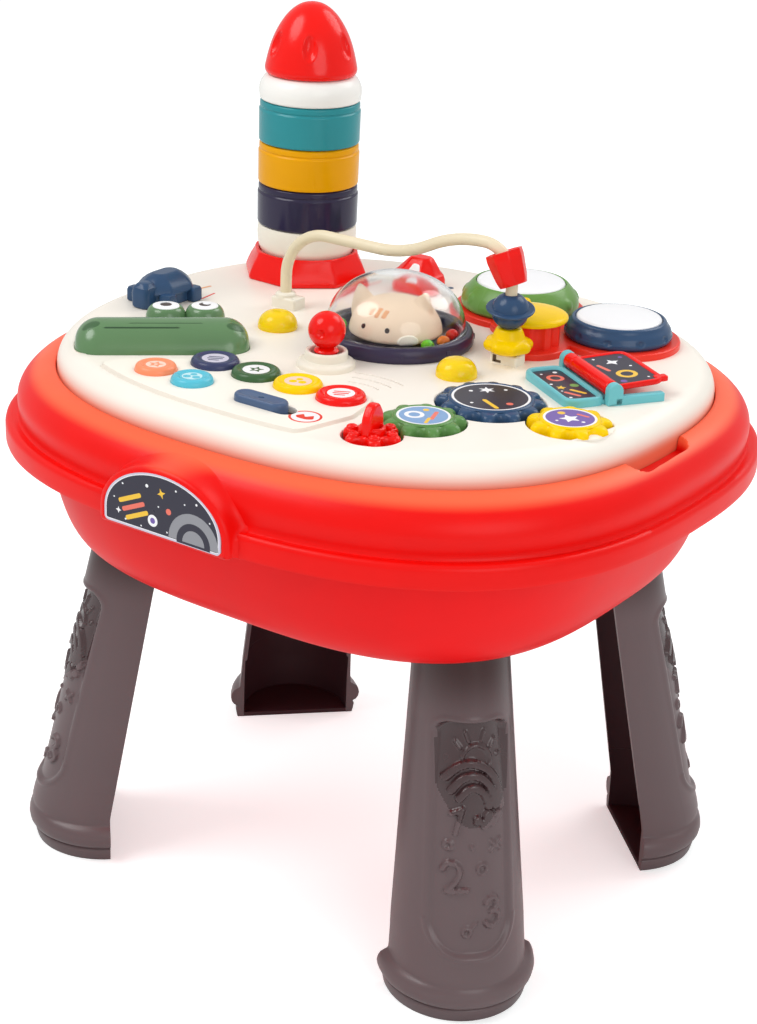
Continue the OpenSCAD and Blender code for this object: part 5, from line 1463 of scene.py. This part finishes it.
def mesh_turn(driver, direction, gear):
    """Turn that sets a gear's teeth between those of its driver."""
    teeth, next_teeth = TEETH[driver], TEETH[gear]
    turn = direction + 180 - (GEAR_TURN[driver] - direction) * teeth / next_teeth
    return turn + 180 / next_teeth


GEAR_TURN = {"blue": 0.0}
GEAR_TURN["green"] = mesh_turn("blue", GREEN_WAY, "green")
GEAR_TURN["yellow"] = mesh_turn("blue", 0, "yellow")
GEAR_TURN["red"] = mesh_turn("green", RED_WAY, "red")


def gear_rings(name, levels):
    """Rings of the lobes for (shift, fill, z): fill lifts the valleys as the tips draw in."""
    n = TEETH[name]

    def radius(level, z, t):
        c = math.cos(n * t)
        c = math.copysign(abs(c) ** 0.62, c)
        shift, fill = level
        return PITCH[name] - 0.45 + (2.45 if c > 0 else 2.75 * (1 - fill)) * c + shift

    return turned([((shift, fill), z) for shift, fill, z in levels], n * 20, radius)


def gear_body(form, name, place):
    """Lobed body with soft, falling tops to its lobes."""
    pitch = PITCH[name]
    levels = [(-0.5, 0, 0), (0, 0, 0.5), (0, 0, 6.6)] + [
        (shift, -shift * 0.12, z)
        for shift, z in ((-0.15, 7.8), (-0.55, 8.8), (-1.2, 9.6), (-2.1, 10.3), (-3.2, 10.7))
    ]
    crown = [(pitch - 4.6, 10.8), (pitch - 5.0, 11.3), (pitch - 5.6, 11.65),
             (pitch - 6.3, 11.7), (pitch - 6.8, 11.5)]
    rings = gear_rings(name, levels) + turned(crown, TEETH[name] * 20, lambda r, z, t: r)
    form.loft(rings, 0, place, caps=(True, False))
    return pitch - 6.8


# Each gear's disc: its ground's paint, then its prints
STICKERS = {
    "blue": [2, (circle(-5, -7, 13, 40), 3), (circle(9, 9, 8.5, 36), 4),
             (circle(9, 9, 5.6, 30), 2), (star(-8, 8, 5, 2.1, 6, 10), 1),
             (stadium(6, -10, 8, 1.3, -28), 4), (circle(14, -3, 2, 20), 5),
             (circle(-14, 1, 1.2, 16), 1), (circle(0, 15, 1.1, 16), 1),
             (circle(-3, -15, 1, 16), 1)],
    "green": [6, (circle(-3, 4, 5.5, 30), 1), (circle(-3, 4, 3.2, 24), 6),
              (stadium(4, -4, 6.6, 1.2, 30), 5), (stadium(-4, -7, 4.6, 1.0, 30), 4),
              (circle(7, 5, 1.8, 20), 4)],
    "yellow": [3, (star(0, 1, 6.2, 2.8, 5, 20, 0.8), 1),
               (circle(6, -6, 2.2, 20), 4), (stadium(-6, -6, 4, 0.9, -20), 5),
               (circle(-8, 4, 1.1, 16), 1), (circle(6, 6.5, 0.9, 14), 1)],
}
for name, colour in (("blue", NAVY), ("green", GEAR_GREEN), ("yellow", YELLOW)):
    gear = Form()
    place = at(*GEAR[name], GEAR_LOW, GEAR_TURN[name])
    rim_r = gear_body(gear, name, place)
    gear.lathe([(rim_r, 11.5), (rim_r - 0.15, FACE)], 0, place, TEETH[name] * 20)
    ground, *marks = STICKERS[name]
    prints = [(circle(0, 0, rim_r - 1.5, 72), ground)]
    prints += [mark for mark in marks if all(math.hypot(*p) < rim_r - 1.7 for p in mark[0])]
    gear.flat(circle(0, 0, rim_r - 0.15, TEETH[name] * 20), FACE, (), 1, place, prints)
    dress(
        "gear_" + name, gear,
        [colour, PRINT_WHITE, PRINT_DARK, PRINT_PURPLE, PRINT_YELLOW, PRINT_CORAL, PRINT_BLUE],
        sharp=40,
    )

gear = Form()
place = at(*GEAR["red"], GEAR_LOW, GEAR_TURN["red"])
levels = [(-0.5, 0, 0), (0, 0, 0.5), (0, 0, 7.0)]
for shift, z in ((-0.2, 8.2), (-0.8, 9.2), (-1.8, 9.8), (-3.4, 10.0), (-5.6, 9.4), (-7.4, 8.6)):
    levels.append((shift, min(0.9, -shift * 0.15), z))
gear.loft(gear_rings("red", levels), 0, place)
knob = soften([(3.2, 8, 0), (3.1, 11.0, 0.9), (1.8, 11.6, 0.6), (1.3, 10.9, 0.4), (0, 10.8, 0)],
              0.5, 4)
for spot in ellipse(11.6, 11.6, 0, 6):
    gear.lathe(knob, 0, place @ at(*spot), 28)
gear.lathe(soften([(7.6, 8, 0), (7.4, 12.6, 1.0), (5.8, 13.4, 0.8), (4.9, 12.4, 0.6),
                   (4.7, 10.6, 0.4), (0, 10.4, 0)], 0.6, 4), 0, place, 56)
fin = soften([(-9, 8, 0.6), (9, 8, 0.6), (8.6, 18.4, 3.0), (5.8, 22.4, 2.6), (3.0, 25.5, 2.4),
              (-3.0, 25.5, 2.4), (-5.8, 22.4, 2.6), (-8.6, 18.4, 3.0)], 1, 5, True)
fin_place = at(*GEAR["red"], GEAR_LOW, 100) @ at(0, 2.75, 0) @ spin("X", 90)
gear.slab(fin, 0, 5.5, 1.4, 0, fin_place, under=1.4)
dress("gear_red", gear, [TOY_RED], sharp=40)


# ------------------------------------------------------------------ book

BOOK = at(132, 12, DECK, -33)
cover = Form()
page_loop = block(0, -16.5, 29, 12.5, 8)
rings = [(0, 0.0), (0, 3.4), (0.25, 4.3), (0.9, 4.9), (1.6, 5.0), (2.5, 4.8), (3.0, 4.2),
         (3.3, 3.2)]
cover.loft(stepped(page_loop, rings), 0, BOOK, caps=(True, False))
left_prints = [
    (shrink(page_loop, 3.6), 1),
    (circle(-12, -16, 5.2, 30), 2), (circle(-12, -16, 3.0, 24), 1),
    (circle(2, -11, 2.6, 20), 4), (star(3.5, -20, 3.2, 1.4, 5, 10), 3),
    (stadium(12, -13.5, 5.4, 1.2, 35), 3), (stadium(15, -18.5, 5.4, 1.2, 35), 2),
    (circle(-21, -12, 1.4, 18), 5), (circle(-3, -23, 1.0, 14), 5), (circle(20, -22, 1.0, 14), 5),
    (circle(-20, -21, 0.8, 14), 5), (circle(9, -22, 0.7, 14), 5),
]
cover.flat(shrink(page_loop, 3.3), 3.2, (), 1, BOOK, left_prints)
cover.slab(block(-1, 0, 28, 6, 1), 0, 2.6, 0.5, 0, BOOK)
cover.slab(soften([(26.5, -1), (31.5, -1), (31.5, 31), (26.5, 31)], 1.6, 4, True), 0, 5, 1.2, 0,
           BOOK)
round_top = [(4.6 * math.cos(t), 8 + 4.6 * math.sin(t), 0)
             for t in (math.pi * k / 16 for k in range(1, 16))]
lug = soften([(-4.6, 0), (4.6, 0), (4.6, 8.0, 0), *round_top, (-4.6, 8.0, 0)], 0.6, 3, True)
for x in (-29, 29):
    lug_place = BOOK @ at(x - 2.5, 0, 0) @ spin("Z", 90) @ spin("X", 90)
    cover.slab(lug, 0, 5, 0.7, 0, lug_place, under=0.7)
dress("book_cover", cover,
      [AQUA, PRINT_DARK, PRINT_CORAL, PRINT_YELLOW, PRINT_GREEN, PRINT_WHITE], False)

page = Form()
spine = BOOK @ at(0, 0, 8) @ spin("Y", 90)
half = 26.1
page.lathe(
    soften([(2.1, -half, 0), (4.4, -half, 0.4), (4.6, -half + 1, 0.4), (4.6, -half + 8, 0.3),
            (4.25, -half + 8.4, 0.2), (4.25, -half + 9.6, 0.2), (4.6, -half + 10, 0.3),
            (4.6, half - 1, 0.5), (4.2, half, 0.4), (2.1, half, 0)], 0.4, 3), 0, spine, 48,
)
leaf = BOOK @ at(0, 0, 8) @ spin("X", 3)
leaf_loop = soften([(-25.8, 3, 0.5), (25.8, 3, 0.5), (25.8, 34, 8), (-25.8, 34, 8)], 1, 7, True)
rings = [(0.6, -1.6), (0, -1.0), (0, 1.0), (0.3, 1.5), (1.0, 1.7), (1.9, 1.6), (2.5, 1.2),
         (2.7, 0.9)]
page.loft(stepped(leaf_loop, rings), 0, leaf, caps=(True, False))
page.slab(block(20.6, 33, 2.6, 4.0, 1.6), -1.5, 1.6, 1.0, 0, leaf, under=0.6)
right_prints = [
    (shrink(leaf_loop, 3.0), 1), (circle(9, 18, 6.2, 32), 3), (circle(9, 18, 3.6, 26), 1),
    (star(-11, 19, 4.6, 2.0, 4, 15), 5), (stadium(-4, 10, 6.0, 1.2, 12), 2),
    (circle(19, 11, 2.0, 20), 4), (circle(-19, 11, 0.9, 14), 5), (circle(-2, 26, 0.9, 14), 5),
    (circle(18, 27, 0.8, 14), 5), (circle(-17, 27, 1.3, 16), 4),
]
page.flat(shrink(leaf_loop, 2.7), 0.9, (), 1, leaf, right_prints)
dress("book_page", page,
      [TOY_RED, PRINT_DARK, PRINT_CORAL, PRINT_YELLOW, PRINT_PURPLE, PRINT_WHITE])


# ------------------------------------------------------------------ drums and turning disc

GREEN_DRUM, BLUE_DRUM, DISC = (26.0, 106.5), (102.5, 95.0), (68.5, 49.5)
drums = Form()
plate = union_outline([(*GREEN_DRUM, 40.5), (*BLUE_DRUM, 37.4), (*DISC, 24.0), (60, 76, 24),
                       (47, 77, 20)], 4)
drums.slab(plate, DECK, DECK + 4, 1.2)


def stand_radius(inset, z, t):
    """Round stand with eight upright grooves."""
    part = abs((t % (math.tau / 8)) - math.tau / 16)
    groove = 3.0 * math.cos(min(1.0, part / 0.27) * math.pi / 2) ** 0.7 if part < 0.27 else 0
    return 17.6 - groove - inset


rows = turned([(0, 4), (0, 17.2), (0.5, 18), (1.2, 18)], 160, stand_radius)
drums.loft(rows, 0, at(*DISC, DECK, 22.5), caps=(False, True))
dress("drum_base", drums, [PLATE_RED], False, sharp=44)


def drum(hue, spot, r, top, h, colour, marks):
    """Drum body with bumps or dimples round it, and its white skin on its own body.
    marks are their count, height, half width, half height and rise."""
    side = flow([(r - 1.6, 0), (r - 0.2, 1.4), (r, 3.4), (r - 0.4, h * 0.36),
                 (r - (r - top) * 0.2, h * 0.58), (r - (r - top) * 0.46, h * 0.78),
                 (top + 2.6, h * 0.94), (top + 1.4, h)], 5)
    side += [(top + 0.9, h + 0.1), (top + 0.45, h - 0.5), (top + 0.4, h - 3)]
    count, level, size_a, size_z, rise = marks

    def marked(radius, z, t):
        across = ((t * count / math.tau + 0.5) % 1 - 0.5) * math.tau / count * r
        d = math.hypot(across / size_a, (z - level) / size_z)
        return radius + (rise * max(0, 1 - d * d) ** 0.6 if d < 1 else 0)

    body = Form().loft(turned(side, 240, marked), 0, at(*spot, DECK + 4), caps=(False, False))
    shell = hue + "_drum_shell"
    piece(shell, body, [colour], stands_for=(shell,), sharp=60)
    skin = Form()
    skin.lathe(
        [(top - 4, h - 3.4), (top, h - 3.4), (top + 0.1, h - 0.6), (top - 0.5, h + 0.3)]
        + bow(top, 1.6, range(15, 86, 7), h + 0.4, 0.8, 0.9) + [(0, h + 2)],
        0, at(*spot, DECK + 4), 96,
    )
    node = "drum_skin_" + hue
    piece(hue + "_drum_skin", skin, [SKIN], node + "_body", (node,), sharp=60)


drum("green", GREEN_DRUM, 36.5, 27.4, 16, DRUM_GREEN, (9, 8.0, 3.6, 3.4, 0.9))
drum("blue", BLUE_DRUM, 32.4, 25.6, 12, NAVY, (10, 4.6, 2.3, 1.9, -1.1))

DISC_Z = 351.3
disc = Form()
disc.lathe(
    flow([(20.2, 0), (21.4, 0.4), (22, 1.6), (21.4, 3.2), (18.5, 4.5), (12, 5.5), (5, 5.95),
          (0, 6)], 5), 0, at(*DISC, DISC_Z), 88, (True, False),
)
disc.lathe(soften([(4.9, 3.6, 0), (4.2, 6.2, 1.2), (3.2, 8.4, 0.9), (2.2, 8.2, 0.6),
                   (1.6, 7.2, 0.5), (0, 7.0, 0)], 0.8, 4), 0,
           at(DISC[0] - 9.9, DISC[1] + 7.7, DISC_Z), 40)
disc.lathe([(0, -8), (3, -8), (3, 1)], 0, at(*DISC, DISC_Z), 32)
dress("turning_disc", disc, [YELLOW], sharp=60)


# ------------------------------------------------------------------ CAD pieces that stay

KEPT = {
    "panel_back_cover": KEYPAD, "battery_door": KEYPAD, "panel_screws": METAL,
    "leg_screws": METAL, "circuit_board": BOARD, "speaker_driver": CONE,
    "battery_cells": CELL, "joystick_gimbal": METAL, "gear_axles": METAL, "book_pin": METAL,
}
for node, material in KEPT.items():
    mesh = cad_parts[node].data
    for index in range(max(1, len(mesh.materials))):
        if mesh.materials:
            mesh.materials[index] = material
        else:
            mesh.materials.append(material)


# ------------------------------------------------------------------ floor, light and camera


FLOOR_COLOUR, FLOOR_SHARE, FLOOR_GLOW = (0.92, 0.95, 0.95, 1), 0.05, 8.8
WORLD_LIGHT, BACKGROUND = 0.64, 1.0


def straight_rays(nodes, links):
    """1 for rays from the camera, also through the clear dome, and 0 for others."""
    rays = nodes.new("ShaderNodeLightPath")
    either = nodes.new("ShaderNodeMath")
    either.operation = "MAXIMUM"
    links.new(rays.outputs["Is Camera Ray"], either.inputs[0])
    links.new(rays.outputs["Is Transmission Ray"], either.inputs[1])
    return either.outputs[0]


def blend_shaders(nodes, links, share, first, second, out):
    """Sends a blend of two shaders to a surface output."""
    blend = nodes.new("ShaderNodeMixShader")
    links.new(share, blend.inputs["Fac"])
    links.new(first, blend.inputs[1])
    links.new(second, blend.inputs[2])
    links.new(blend.outputs["Shader"], nodes[out].inputs["Surface"])


def backdrop_material():
    """Pale floor that keeps the object's shadow and meets a white background."""
    made = bpy.data.materials.new("studio_floor")
    made.use_nodes = True
    nodes, links = made.node_tree.nodes, made.node_tree.links
    shader = nodes["Principled BSDF"]
    shader.inputs["Roughness"].default_value = 0.9
    shader.inputs["Specular IOR Level"].default_value = 0.0
    shader.inputs["Base Color"].default_value = FLOOR_COLOUR
    glow = nodes.new("ShaderNodeEmission")
    glow.inputs["Strength"].default_value = FLOOR_GLOW
    share = nodes.new("ShaderNodeMath")
    share.operation = "MULTIPLY"
    share.inputs[1].default_value = FLOOR_SHARE
    links.new(straight_rays(nodes, links), share.inputs[0])
    blend_shaders(nodes, links, share.outputs[0], shader.outputs["BSDF"],
                  glow.outputs["Emission"], "Material Output")
    return made


floor_mesh = bpy.data.meshes.new("studio_floor")
floor_mesh.from_pydata([(-6, -6, 0), (6, -6, 0), (6, 6, 0), (-6, 6, 0)], [], [(0, 1, 2, 3)])
floor_mesh.materials.append(backdrop_material())
floor = bpy.data.objects.new("studio_floor", floor_mesh)
bpy.context.scene.collection.objects.link(floor)

world = bpy.data.worlds.new("studio")
bpy.context.scene.world = world
world.use_nodes = True
nodes, links = world.node_tree.nodes, world.node_tree.links
soft = nodes["Background"]
soft.inputs["Color"].default_value = (1, 1, 1, 1)
soft.inputs["Strength"].default_value = WORLD_LIGHT
plain = nodes.new("ShaderNodeBackground")
plain.inputs["Color"].default_value = (1, 1, 1, 1)
plain.inputs["Strength"].default_value = BACKGROUND
blend_shaders(nodes, links, straight_rays(nodes, links), soft.outputs["Background"],
              plain.outputs["Background"], "World Output")


def softbox(name, spot, aim, size, power):
    """Round area light that looks at a point."""
    data = bpy.data.lights.new(name, "AREA")
    data.shape = "DISK"
    data.size = size
    data.energy = power
    made = bpy.data.objects.new(name, data)
    made.location = spot
    made.rotation_euler = (Vector(aim) - Vector(spot)).to_track_quat("-Z", "Y").to_euler()
    bpy.context.scene.collection.objects.link(made)


softbox("key_light", (-0.9, -1.0, 1.9), (0, 0, 0.3), 1.2, 18)
softbox("fill_light", (1.6, -0.9, 1.1), (0, 0, 0.25), 1.2, 8)
softbox("back_light", (0.5, 1.4, 1.6), (0, 0, 0.35), 1.2, 11)

# Camera at the photograph's angle, in degrees and millimetres
AZIMUTH, ELEVATION, ROLL = 34.447, 22.695, 2.391
TARGET, DISTANCE = (-0.53, 0.53, 221.55), 1344.97
LENS, SENSOR, SHIFT = 77.41, 36, (-0.0004, 0.0045)
azimuth, elevation, roll_turn = (math.radians(a) for a in (AZIMUTH, ELEVATION, ROLL))
target, distance = Vector(TARGET) * MM, DISTANCE * MM
forward = Vector((
    -math.sin(azimuth) * math.cos(elevation),
    math.cos(azimuth) * math.cos(elevation),
    -math.sin(elevation),
))
right = Vector((math.cos(azimuth), math.sin(azimuth), 0))
up = right.cross(forward)
right, up = (
    math.cos(roll_turn) * right + math.sin(roll_turn) * up,
    -math.sin(roll_turn) * right + math.cos(roll_turn) * up,
)
camera_data = bpy.data.cameras.new("photo_camera")
camera_data.lens = LENS
camera_data.sensor_width = SENSOR
camera_data.shift_x, camera_data.shift_y = SHIFT
camera = bpy.data.objects.new("photo_camera", camera_data)
camera.matrix_world = Matrix((
    (right.x, up.x, -forward.x, 0), (right.y, up.y, -forward.y, 0),
    (right.z, up.z, -forward.z, 0), (0, 0, 0, 1),
))
camera.location = target - forward * distance
bpy.context.scene.collection.objects.link(camera)
bpy.context.scene.camera = camera
bpy.context.scene.view_settings.view_transform = "Standard"
